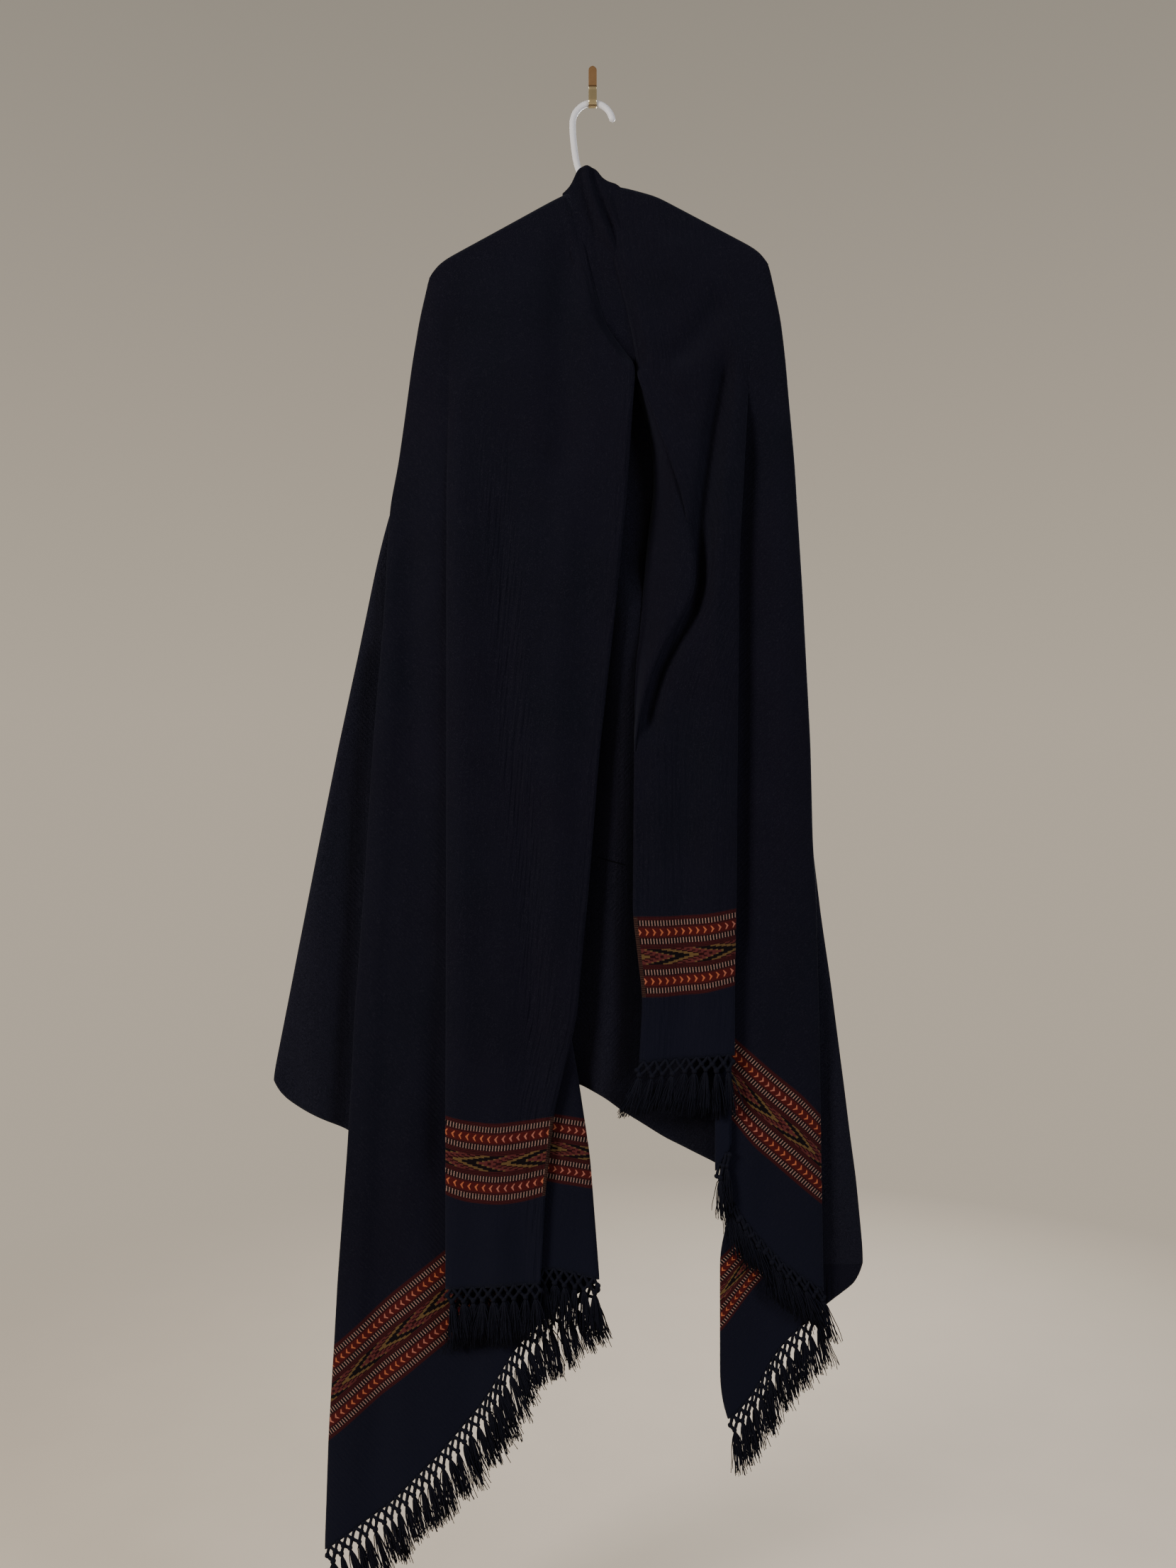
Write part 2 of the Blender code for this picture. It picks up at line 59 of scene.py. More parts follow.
PLATE_TOP_Z = 0.021
LIP_TOP_Z = -0.0145
CROOK_RADIUS = HOOK_OUT - PLATE_THICK
FRINGE_REACH = 0.078
BAND_HEIGHT = 0.106
RIGHT_START = 0.7497  # w at the selvedge of the right front
# Without the band, w and v are x and z plus these. v says if the face or the fuzzier reverse shows.
PLAIN_W, FACE_V, REVERSE_V = 0.5, 1.5, 3.0

# ---- how the cloth is meshed
LEFT, RIGHT = -1, 1
PITCH, NECK_PITCH = 0.007, 0.003  # of rows and columns
CURL_COLUMNS = 14
TAIL_COLUMNS = [2.5, 3.0]  # on a flat tail behind a fold
TAIL = 0.012  # length of the tail
FRINGED_COLUMNS = 5  # of a fold, that a fringe goes on round
SHOULDER_ROWS = 14
CREASE_END = 0.05  # length over which a crease dies away at its ends
LAPEL_GAP = 0.0022  # least, from the back panel to the turned edge
FOLD_DEPTH = 0.94  # of a round fold's
# How much wider than deep the folds are.
USUAL_REACH = 2.4
FOLD_REACH = {
    "left_front": 4.2, "left_middle": 3.4, "left_side": 2.0, "right_front": 3.0, "right_middle": 3.2,
}

# ---- the hanger: arms as x and z, stem as x, z and out
ARM_LINE = [
    (-0.203, -0.264), (-0.198, -0.259), (-0.107, -0.2085), (-0.055, -0.1795), (-0.022, -0.163),
    (0.008, -0.1575), (0.04, -0.1605), (0.084, -0.1725), (0.174, -0.2205), (0.216, -0.243),
    (0.221, -0.248),
]
BAR_Z = -0.287
STEM = [
    (-0.0265, -0.075, 0.0085), (-0.024, -0.1, 0.012), (-0.0208, -0.12, 0.0165), (-0.015, -0.136, 0.02),
    (-0.004, -0.1475, 0.022),
]

# ---- the longer of the cloth's lower edges, as x and z
LEFT_RETURN_END = [(-0.186, -1.612), (-0.11, -1.598), (-0.057, -1.577), (0.01, -1.594)]
LEFT_MIDDLE_END = [
    (-0.352, -1.952), (-0.267, -1.891), (-0.198, -1.821), (-0.143, -1.757), (-0.107, -1.693),
    (-0.065, -1.648), (-0.037, -1.624), (0.01, -1.597),
]
LEFT_SIDE_HEM = [
    (-0.426, -1.334), (-0.4145, -1.357), (-0.406, -1.362), (-0.386, -1.375), (-0.356, -1.39),
    (-0.322, -1.406), (-0.24, -1.461), (-0.1, -1.579),
]
RIGHT_MIDDLE_END = [(0.161, -1.462), (0.205, -1.525), (0.247, -1.572), (0.306, -1.613)]
RIGHT_UNDER_END = [
    (0.164, -1.786), (0.182, -1.784), (0.217, -1.744), (0.239, -1.7), (0.258, -1.676), (0.306, -1.63),
]
RIGHT_SIDE_HEM = [
    (0.17, -1.765), (0.248, -1.69), (0.311, -1.633), (0.338, -1.612), (0.354, -1.602), (0.362, -1.574),
]
BACK_HEM = [
    (-0.424, -1.335), (-0.019, -1.341), (0.018, -1.358), (0.038, -1.376), (0.098, -1.417),
    (0.164, -1.449), (0.36, -1.59),
]

# ---- upper edges, as x and z: the gathered cloth at the neck, and the back panel
NECK_TOP = [
    (-0.045, -0.164), (-0.0385, -0.16), (-0.0315, -0.1543), (-0.0265, -0.147), (-0.0235, -0.139),
    (-0.0205, -0.1315), (-0.016, -0.1278), (0.0, -0.13), (0.004, -0.1318), (0.0079, -0.136),
    (0.011, -0.1418), (0.0205, -0.147), (0.0317, -0.1501), (0.0402, -0.1571), (0.05, -0.164),
]
BACK_TOP = ARM_LINE[:4] + [
    (-0.036, -0.165), (-0.024, -0.152), (0.0, -0.146), (0.014, -0.148), (0.028, -0.153), (0.046, -0.1615),
] + ARM_LINE[-4:]

# ---- the stretches of cloth
# Each row is z, left x, right x and out. A stretch with a fold at one side also has how far it
# curls back there, in degrees, and the radius of the fold. A row that ends early keeps the rest
# from the row above it.
LEFT_FRONT = [
    (-0.15, -0.2, -0.026, 0.028, 0, 0.0045),
    (-0.18, -0.2, -0.022, 0.03),
    (-0.24, -0.2, -0.008, 0.034),
    (-0.3, -0.199, 0.006, 0.0367),
    (-0.34, -0.1945, 0.018, 0.0385, 12),
    (-0.389, -0.1915, 0.057, 0.042, 55),
    (-0.44, -0.1915, 0.053, 0.0442, 95),
    (-0.5, -0.191, 0.049, 0.0462, 130),
    (-0.58, -0.191, 0.043, 0.0482, 160),
    (-0.68, -0.191, 0.033, 0.0496, 180),
    (-0.72, -0.191, 0.029, 0.05),
    (-0.9, -0.191, 0.009, 0.052),
    (-1.065, -0.191, -0.004, 0.053),
    (-1.25, -0.1915, -0.021),
    (-1.37, -0.192, -0.05),
    (-1.48, -0.192, -0.062),
    (-1.61, -0.192, -0.069),
]
LEFT_RETURN = [
    (-0.52, -0.1848, -0.168, 0.038, 180, 0.002),
    (-0.62, -0.1848, -0.148, 0.04, 180, 0.003),
    (-0.89, -0.1848, -0.098, 0.0435, 180, 0.004),
    (-1.25, -0.1852, -0.033, 0.044),
    (-1.332, -0.1855, -0.019),
    (-1.432, -0.1855, -0.004),
    (-1.6, -0.1855, 0.009),
]
LEFT_MIDDLE = [
    (-0.245, -0.2075, -0.183, 0.028, 0, 0.0035),
    (-0.265, -0.211, -0.183, 0.0283, 20, 0.004),
    (-0.29, -0.2205, -0.183, 0.029, 70, 0.0045),
    (-0.33, -0.229, -0.183, 0.03, 150, 0.0062),
    (-0.39, -0.239, -0.185, 0.031, 180, 0.007),
    (-0.46, -0.2485, -0.184, 0.031, 180, 0.0075),
    (-0.52, -0.257, -0.174, 0.0315, 180, 0.0078),
    (-0.575, -0.2675, -0.162, 0.0322, 180, 0.007),
    (-0.62, -0.27, -0.153, 0.033, 180, 0.0045),
    (-0.72, -0.275, -0.135, 0.034, 180, 0.004),
    (-0.89, -0.289, -0.103, 0.0355),
    (-1.07, -0.3, -0.072, 0.036),
    (-1.25, -0.314, -0.038),
    (-1.332, -0.3175, -0.024),
    (-1.432, -0.3235, -0.009),
    (-1.6, -0.336, 0.004),
    (-1.68, -0.3405, 0.005),
    (-1.8, -0.348, 0.005),
    (-1.95, -0.353, 0.005),
]
LEFT_UNDER = [
    (-0.72, -0.268, -0.245, 0.026, 180, 0.003),
    (-0.89, -0.2825, -0.212, 0.0275, 180, 0.004),
    (-1.07, -0.2935, -0.173, 0.028),
    (-1.332, -0.311, -0.122),
    (-1.58, -0.3255, -0.095),
    (-1.95, -0.343, -0.095),
]
LEFT_SIDE = [
    (-0.54, -0.254, -0.232, 0.0215, 180, 0.0035),
    (-0.575, -0.2665, -0.236, 0.0212, 180, 0.0036),
    (-0.62, -0.279, -0.24, 0.021, 180, 0.0038),
    (-0.66, -0.2885, -0.245, 0.0205, 180, 0.004),
    (-0.72, -0.301, -0.249, 0.02),
    (-0.89, -0.337, -0.217, 0.0195, 180, 0.0045),
    (-0.99, -0.357, -0.195, 0.0195, 180, 0.0048),
    (-1.16, -0.391, -0.16, 0.02, 180, 0.0055),
    (-1.334, -0.425, -0.127, 0.02, 180, 0.006),
    (-1.6, -0.425, -0.1),
]
RIGHT_FRONT = [
    (-0.15, 0.019, 0.215, 0.028, 0, 0.004),
    (-0.2, 0.02, 0.215, 0.03),
    (-0.251, 0.027, 0.215, 0.033),
    (-0.331, 0.049, 0.215, 0.037),
    (-0.386, 0.059, 0.2085, 0.0405, 20),
    (-0.408, 0.0555, 0.205, 0.0415, 60),
    (-0.44, 0.073, 0.2035, 0.0435, 110),
    (-0.515, 0.1, 0.199, 0.046, 170),
    (-0.56, 0.115, 0.1965, 0.0472, 175),
    (-0.61, 0.126, 0.1935, 0.0483, 180),
    (-0.65, 0.126, 0.192, 0.049),
    (-0.689, 0.12, 0.191, 0.0495),
    (-0.729, 0.098, 0.191, 0.05),
    (-0.814, 0.065, 0.19, 0.051),
    (-0.888, 0.054, 0.189, 0.052),
    (-1.112, 0.052, 0.187, 0.053),
    (-1.222, 0.065, 0.185),
    (-1.31, 0.06, 0.185),
]
RIGHT_LAPEL = [
    (-0.415, 0.056, 0.064, 0.038),
    (-0.446, 0.064, 0.079, 0.039),
    (-0.497, 0.08, 0.099, 0.041),
    (-0.552, 0.082, 0.1165, 0.043),
    (-0.603, 0.075, 0.129, 0.0465),
    (-0.653, 0.07, 0.135, 0.052),
    (-0.694, 0.0665, 0.133, 0.0535),
    (-0.722, 0.064, 0.118, 0.0538),
    (-0.752, 0.0615, 0.0975, 0.0541),
    (-0.79, 0.057, 0.079, 0.0544),
    (-0.84, 0.0555, 0.064, 0.054),
    (-0.88, 0.055, 0.0565, 0.0528),
    (-0.9, 0.0548, 0.0552, 0.0524),
]
RIGHT_RETURN = [
    (-0.6, 0.17, 0.188, 0.0405, 180, 0.0035),
    (-0.72, 0.167, 0.185, 0.042, 180, 0.004),
    (-0.9, 0.163, 0.183, 0.0435),
    (-1.12, 0.1615, 0.1812, 0.045),
    (-1.3, 0.161, 0.1792),
    (-1.46, 0.161, 0.1792),
]
RIGHT_MIDDLE = [
    (-0.24, 0.198, 0.227, 0.028, 0, 0.0035),
    (-0.262, 0.198, 0.232, 0.0284, 20, 0.0038),
    (-0.285, 0.198, 0.24, 0.029, 70, 0.0045),
    (-0.33, 0.198, 0.249, 0.0295, 150, 0.0062),
    (-0.387, 0.198, 0.2555, 0.03, 180, 0.007),
    (-0.427, 0.2, 0.259, 0.03, 180, 0.0072),
    (-0.515, 0.195, 0.267, 0.031, 180, 0.008),
    (-0.684, 0.174, 0.2775, 0.033, 180, 0.01),
    (-0.891, 0.169, 0.288, 0.0355, 180, 0.012),
    (-1.02, 0.1678, 0.291, 0.037, 180, 0.0125),
    (-1.077, 0.1675, 0.294, 0.037, 180, 0.006),
    (-1.12, 0.1675, 0.295, 0.037, 180, 0.004),
    (-1.284, 0.1675, 0.299),
    (-1.44, 0.1675, 0.301),
    (-1.62, 0.1675, 0.304),
]
RIGHT_UNDER = [
    (-1.17, 0.26, 0.291, 0.028, 180, 0.003),
    (-1.35, 0.217, 0.295, 0.029, 180, 0.004),
    (-1.564, 0.169, 0.298),
    (-1.735, 0.169, 0.3),
    (-1.768, 0.1735, 0.3),
    (-1.792, 0.183, 0.3),
    (-1.83, 0.187, 0.3),
]
RIGHT_SIDE = [
    (-0.96, 0.27, 0.287, 0.0215, 180, 0.005),
    (-1.02, 0.268, 0.2915, 0.0212, 180, 0.0055),
    (-1.12, 0.264, 0.304, 0.021),
    (-1.204, 0.2562, 0.3165, 0.021, 180, 0.006),
    (-1.35, 0.2222, 0.335, 0.021, 180, 0.0065),
    (-1.408, 0.2092, 0.342),
    (-1.47, 0.1957, 0.3505),
    (-1.564, 0.1742, 0.3595),
    (-1.8, 0.1805, 0.3595),
]
BACK_PANEL = [
    (-0.15, -0.208, 0.227, 0.0152),
    (-0.262, -0.21, 0.23),
    (-0.3, -0.2195, 0.24, 0.0155),
    (-0.39, -0.228, 0.246, 0.016),
    (-0.515, -0.247, 0.257, 0.015),
    (-0.62, -0.262, 0.26, 0.0135),
    (-0.72, -0.2935, 0.264, 0.012),
    (-0.89, -0.3285, 0.2735, 0.0105),
    (-1.02, -0.3545, 0.276, 0.01),
    (-1.12, -0.374, 0.294, 0.0095),
    (-1.204, -0.39, 0.3075, 0.0085),
    (-1.334, -0.415, 0.3235, 0.008),
    (-1.6, -0.415, 0.3495),
]
NECK_GATHER = [
    (-0.118, -0.036, 0.044, 0.0285),
    (-0.135, -0.038, 0.046, 0.029),
    (-0.15, -0.04, 0.049),
    (-0.18, -0.04, 0.05, 0.0284),
    (-0.21, -0.036, 0.05, 0.028),
    (-0.245, -0.028, 0.052),
    (-0.3, -0.013, 0.062, 0.0276),
    (-0.34, -0.003, 0.072, 0.025),
    (-0.375, 0.018, 0.078, 0.026),
    (-0.408, 0.042, 0.072, 0.03),
]

# Name: table, folded side, upper edge, lower edge. The cloth goes on over the arms from their line.
STRETCHES = {
    "back_panel": (BACK_PANEL, None, BACK_TOP, BACK_HEM),
    "neck_gather": (NECK_GATHER, None, NECK_TOP, None),
    "left_front": (LEFT_FRONT, LEFT, ARM_LINE, [(-0.192, -1.603), (-0.068, -1.595)]),
    "left_return": (LEFT_RETURN, RIGHT, None, LEFT_RETURN_END),
    "left_middle": (LEFT_MIDDLE, LEFT, ARM_LINE, LEFT_MIDDLE_END),
    "left_under": (LEFT_UNDER, RIGHT, None, [(-0.352, -1.94), (-0.1, -1.58)]),
    "left_side": (LEFT_SIDE, LEFT, None, LEFT_SIDE_HEM),
    "right_front": (RIGHT_FRONT, RIGHT, ARM_LINE, [(0.06, -1.307), (0.185, -1.297)]),
    "right_lapel": (RIGHT_LAPEL, None, None, None),
    "right_return": (RIGHT_RETURN, LEFT, None, [(0.16, -1.452), (0.186, -1.41)]),
    "right_middle": (RIGHT_MIDDLE, RIGHT, ARM_LINE, RIGHT_MIDDLE_END),
    "right_under": (RIGHT_UNDER, LEFT, None, RIGHT_UNDER_END),
    "right_side": (RIGHT_SIDE, RIGHT, None, RIGHT_SIDE_HEM),
}

# The woven band: upper line and lower line (x and z), lean of the threads in degrees, and which way
# the arrowheads point (1 towards +X). On the two fronts the threads follow the selvedge instead.
BANDS = {
    "left_front": (
        [(-0.192, -1.376), (-0.165, -1.382), (-0.13, -1.386), (-0.085, -1.382), (-0.045, -1.375)],
        [(-0.192, -1.479), (-0.165, -1.488), (-0.125, -1.491), (-0.09, -1.488), (-0.062, -1.479)],
    ),
    "left_return": ([(-0.185, -1.35), (0.0, -1.384)], [(-0.185, -1.44), (0.0, -1.474)], -10, 1),
    "left_middle": (
        [(-0.337, -1.679), (-0.267, -1.615), (-0.196, -1.558), (-0.06, -1.452)],
        [(-0.345, -1.806), (-0.277, -1.747), (-0.202, -1.686), (-0.06, -1.57)],
        40, -1,
    ),
    "right_front": (
        [(0.05, -1.116), (0.1, -1.116), (0.145, -1.113), (0.184, -1.106)],
        [(0.065, -1.221), (0.095, -1.221), (0.145, -1.216), (0.184, -1.206)],
    ),
    "right_return": ([(0.16, -1.165), (0.186, -1.155)], [(0.16, -1.271), (0.186, -1.261)], 5, 1),
    "right_middle": (
        [(0.15, -1.246), (0.191, -1.281), (0.241, -1.325), (0.276, -1.352), (0.299, -1.378)],
        [(0.15, -1.354), (0.181, -1.381), (0.211, -1.42), (0.253, -1.455), (0.301, -1.496)],
        -42, 1,
    ),
    "right_under": (
        [(0.168, -1.571), (0.3, -1.43)], [(0.168, -1.669), (0.208, -1.614), (0.3, -1.52)], 52, -1,
    ),
}

# The creases of each stretch: half width, height outwards (below zero for a trough), line of x and z.
CREASES = {
    "left_front": [
        (0.008, 0.0035, [(-0.03, -0.11), (-0.013, -0.182), (-0.006, -0.244), (0.003, -0.294),
            (0.02, -0.356), (0.048, -0.385)]),
        (0.024, -0.0085, [(-0.036, -0.2), (-0.034, -0.269), (-0.042, -0.345), (-0.036, -0.432),
            (-0.04, -0.56)]),
        (0.04, 0.003, [(-0.1, -0.25), (-0.11, -0.36), (-0.12, -0.48)]),
        (0.018, 0.003, [(-0.18, -0.38), (-0.176, -0.56), (-0.174, -0.92), (-0.172, -1.13),
            (-0.168, -1.34)]),
        (0.022, -0.0045, [(-0.12, -0.56), (-0.113, -0.716), (-0.102, -0.922), (-0.087, -1.076),
            (-0.077, -1.23), (-0.078, -1.359)]),
        (0.017, 0.003, [(-0.03, -0.56), (-0.048, -0.819), (-0.05, -1.025), (-0.058, -1.2)]),
        (0.02, 0.003, [(-0.13, -1.5), (-0.12, -1.6)]),
    ],
    "left_middle": [
        (0.011, -0.004, [(-0.2, -0.335), (-0.201, -0.422), (-0.201, -0.5), (-0.203, -0.64)]),
        (0.012, -0.002, [(-0.203, -0.7), (-0.201, -0.95)]),
        (0.024, -0.0065, [(-0.2, -0.95), (-0.199, -1.2), (-0.198, -1.48)]),
        (0.018, -0.003, [(-0.238, -0.6), (-0.23, -0.974), (-0.236, -1.181), (-0.25, -1.38)]),
        (0.013, 0.0025, [(-0.258, -0.72), (-0.272, -0.95), (-0.286, -1.2), (-0.3, -1.5), (-0.312, -1.7)]),
        (0.02, -0.0025, [(-0.245, -1.52), (-0.27, -1.7), (-0.29, -1.88)]),
    ],
    "left_side": [
        (0.023, -0.009, [(-0.276, -0.74), (-0.285, -0.83), (-0.297, -0.95), (-0.306, -1.08),
            (-0.315, -1.2), (-0.329, -1.44)]),
        (0.02, 0.003, [(-0.326, -0.764), (-0.352, -0.974), (-0.378, -1.184), (-0.392, -1.33)]),
    ],
    "right_front": [
        (0.0125, -0.015, [(0.183, -0.36), (0.174, -0.405), (0.161, -0.476), (0.149, -0.56),
            (0.143, -0.62), (0.141, -0.68), (0.131, -0.718), (0.108, -0.756), (0.089, -0.795),
            (0.076, -0.85), (0.072, -0.9)]),
        (0.012, 0.004, [(0.194, -0.35), (0.186, -0.445), (0.172, -0.577), (0.163, -0.678),
            (0.158, -0.82)]),
        (0.017, -0.0085, [(0.185, -0.286), (0.149, -0.337), (0.119, -0.372), (0.086, -0.392)]),
        (0.014, 0.0035, [(0.16, -0.384), (0.129, -0.404), (0.1, -0.424)]),
        (0.035, 0.0035, [(0.12, -0.22), (0.11, -0.29)]),
        (0.016, 0.0025, [(0.088, -0.79), (0.08, -0.9), (0.086, -1.06)]),
        (0.02, -0.003, [(0.12, -0.86), (0.122, -1.0), (0.12, -1.28)]),
        (0.015, 0.0025, [(0.166, -0.76), (0.164, -0.927), (0.162, -1.18)]),
    ],
    "right_middle": [
        (0.018, -0.005, [(0.207, -0.43), (0.202, -0.5), (0.196, -0.6), (0.195, -0.748), (0.197, -0.842),
            (0.194, -1.012), (0.19, -1.182)]),
        (0.018, 0.0045, [(0.24, -0.44), (0.248, -0.56), (0.254, -0.799), (0.259, -1.012),
            (0.263, -1.225)]),
        (0.016, -0.0025, [(0.232, -1.42), (0.228, -1.54)]),
    ],
    "right_side": [
        (0.012, 0.002, [(0.318, -1.3), (0.33, -1.42), (0.338, -1.56)]),
    ],
    "neck_gather": [
        (0.0055, 0.008, [(-0.009, -0.09), (-0.007, -0.146), (0.004, -0.182), (0.022, -0.225),
            (0.037, -0.253)]),
        (0.0045, 0.0045, [(-0.004, -0.095), (0.014, -0.16), (0.028, -0.195), (0.046, -0.235)]),
        (0.0045, -0.0015, [(-0.02, -0.095), (-0.008, -0.165), (0.001, -0.21), (0.01, -0.27),
            (0.024, -0.33)]),
        (0.0045, -0.002, [(0.002, -0.095), (0.012, -0.16), (0.026, -0.205), (0.044, -0.25)]),
    ],
    "back_panel": [
        (0.034, 0.0035, [(-0.135, -0.33), (-0.19, -0.7), (-0.26, -1.3)]),
        (0.026, -0.0035, [(-0.063, -0.33), (-0.09, -0.8), (-0.11, -1.3)]),
        (0.03, 0.003, [(0.0, -0.33), (-0.005, -0.7), (-0.03, -1.32)]),
        (0.04, 0.011, [(0.046, -0.67), (0.044, -0.82), (0.034, -0.98), (0.022, -1.2), (0.01, -1.6)]),
        (0.04, 0.011, [(0.05, -0.64), (0.047, -0.74), (0.04, -0.86), (0.024, -1.18), (0.01, -1.6)]),
        (0.022, -0.0035, [(0.06, -0.36), (0.085, -0.8), (0.11, -1.4)]),
        (0.03, 0.003, [(0.132, -0.33), (0.17, -0.8), (0.2, -1.45)]),
        (0.018, -0.003, [(0.2, -0.42), (0.225, -0.9), (0.262, -1.48)]),
        (0.03, -0.005, [(-0.275, -0.76), (-0.3, -0.95), (-0.317, -1.2), (-0.33, -1.44)]),
    ],
}

# Inner edges that turn down into the hollow at the neck, and the levels where that ends.
TURNED_DOWN = {"left_front": -0.396, "right_front": -0.404}


# ---- reading the tables
FINE = 0.002  # step at which tables and lines are read
TABLE_STEPS, LINE_STEPS, NECK_STEPS = 6, 4, 1  # how far their corners are softened


def soften(values, steps):
    """A running average with rounded weights, level beyond the ends."""
    reach = np.arange(-3 * steps, 3 * steps + 1)
    weights = np.exp(-0.5 * (reach / steps) ** 2)
    return np.convolve(np.pad(values, 3 * steps, "edge"), weights / weights.sum(), "valid")


def ramp(value, start, end):
    """0 at `start` and 1 at `end`, straight between them and level outside."""
    return np.clip((value - start) / (end - start), 0, 1)


def ease(share):
    """0 to 1 with level ends."""
    return share**2 * (3 - 2 * share)


def fading(share):
    """1 to 0 with level ends, as the share goes from 0 to 1."""
    return 0.5 + 0.5 * np.cos(np.pi * np.clip(share, 0, 1))


def run_along(path):
    """The distance from the start of a path to each of its points."""
    return np.concatenate([[0], np.cumsum(np.linalg.norm(np.diff(path, axis=0), axis=1))])


def line_z(line, x, steps=LINE_STEPS):
    """Height of a softened polyline of (x, z) at x, carried on straight beyond its ends."""
    beyond = 0.5
    at, heights = np.array(line, float).T
    first = (heights[1] - heights[0]) / (at[1] - at[0])
    last = (heights[-1] - heights[-2]) / (at[-1] - at[-2])
    at = np.concatenate([[at[0] - beyond], at, [at[-1] + beyond]])
    heights = np.concatenate([[heights[0] - beyond * first], heights, [heights[-1] + beyond * last]])
    fine = np.arange(at[0], at[-1], FINE)
    return np.interp(x, fine, soften(np.interp(fine, at, heights), steps))


def levels(table):
    """The table's columns as smooth functions of z."""
    rows = [table[0]]
    for row in table[1:]:
        rows.append(row + rows[-1][len(row):])
    heights, *columns = zip(*rows)
    down = -np.array(heights)
    fine = np.arange(down[0] - 0.1, down[-1] + 0.1, FINE)
    columns = [soften(np.interp(fine, down, column), TABLE_STEPS) for column in columns]
    return lambda z: [np.interp(-z, fine, column) for column in columns]


def fold(edge, folded, curl, radius, spread):
    """Where a fold at an edge starts, its whole turn, its reach sideways and its depth."""
    turn = np.radians(np.maximum(curl, 0.5))
    bend = math.pi * radius / turn
    reach = bend * spread
    return edge - folded * reach * np.sin(np.minimum(turn, math.pi / 2)), turn, reach, bend * FOLD_DEPTH


def across(read, folded, column, z, spread):
    """x and out at a level. Columns 0 to 1 run to where the curl starts, and 1 to 2 through it."""
    if folded is None:
        left, right, out = read(z)
        return left + (right - left) * column, out
    left, right, out, curl, radius = read(z)
    free, edge = (right, left) if folded == LEFT else (left, right)
    start, turn, reach, depth = fold(edge, folded, curl, radius, spread)
    angle = turn * np.clip(column - 1, 0, 1)
    x = np.where(column <= 1, free + (start - free) * column, start + folded * reach * np.sin(angle))
    tail = np.maximum(column - 2, 0)  # straight on behind the fold, past a half turn
    return x - folded * tail * TAIL * np.maximum(-np.cos(turn), 0), out - depth * (1 - np.cos(angle))


def meet(read, folded, column, line, above, below, spread):
    """The levels where the columns meet a polyline, found by halving."""
    above, below = np.full(column.shape, above), np.full(column.shape, below)
    for _ in range(30):
        middle = (above + below) / 2
        x, _out = across(read, folded, column, middle, spread)
        higher = middle > line_z(line, x, NECK_STEPS if line is NECK_TOP else LINE_STEPS)
        above, below = np.where(higher, middle, above), np.where(higher, below, middle)
    return (above + below) / 2


def relief(name, x, z):
    """How far the creases push a stretch outwards at x, z."""
    push = np.zeros_like(x)
    for width, height, line in CREASES.get(name, ()):
        nearest, along, total = np.full(x.shape, np.inf), np.zeros(x.shape), 0.0
        for (x0, z0), (x1, z1) in zip(line, line[1:]):
            dx, dz, run = x1 - x0, z1 - z0, math.hypot(x1 - x0, z1 - z0)
            share = np.clip(((x - x0) * dx + (z - z0) * dz) / run**2, 0, 1)
            away = np.hypot(x - x0 - share * dx, z - z0 - share * dz)
            along = np.where(away < nearest, total + share * run, along)
            nearest = np.minimum(nearest, away)
            total += run
        near_end = ramp(np.minimum(along, total - along), 0, min(CREASE_END, total / 4))
        push += height * np.exp(-((nearest / width) ** 2)) * ease(near_end)
    return push


def sway(x, z):
    """Slow waves that every layer shares, so that the gaps between them stay."""
    wave = 0.001 * np.sin(62 * x + 2.1 * z + 0.6) + 0.0008 * np.sin(97 * x - 3.3 * z + 1.9)
    return ramp(z, -0.3, -0.8) * (wave + 0.0008 * np.sin(31 * x + 9.0 * z))


def turned_down(name, x, z, out, read):
    """Brings an inner edge down on to the gathered cloth at the neck."""
    if name not in TURNED_DOWN:
        return out
    free = read(z)[1] if name == "left_front" else read(z)[0]
    near = ramp(np.abs(x - free), 0.018, 0)
    fade = ramp(z, TURNED_DOWN[name], TURNED_DOWN[name] + 0.022)
    target = levels(NECK_GATHER)(z)[2] + np.interp(-z, [0.19, 0.24], [-0.0022, 0.0004])
    return out + (target - out) * ease(near) * fade


# Where a middle stretch runs on from the front beside it: the shared edge, and how closely it
# follows at each level. At the top, both dip under each other on their far sides.
LEFT_JOIN, RIGHT_JOIN = -0.191, 0.2065
JOINS = {
    "left_middle": ("left_front", LEFT_JOIN, [
        (-0.31, 1), (-0.46, 1), (-0.52, 0.85), (-0.6, 0.7), (-0.66, 0.62), (-1.2, 0.45), (-1.4, 0),
    ]),
    "right_middle": ("right_front", RIGHT_JOIN, [(-0.33, 1), (-0.41, 0.9), (-0.46, 0.4), (-0.52, 0)]),
}
DIPS = {
    "left_front": (LEFT_JOIN, 1), "left_middle": (LEFT_JOIN, -1),
    "right_front": (RIGHT_JOIN, -1), "right_middle": (RIGHT_JOIN, 1),
}


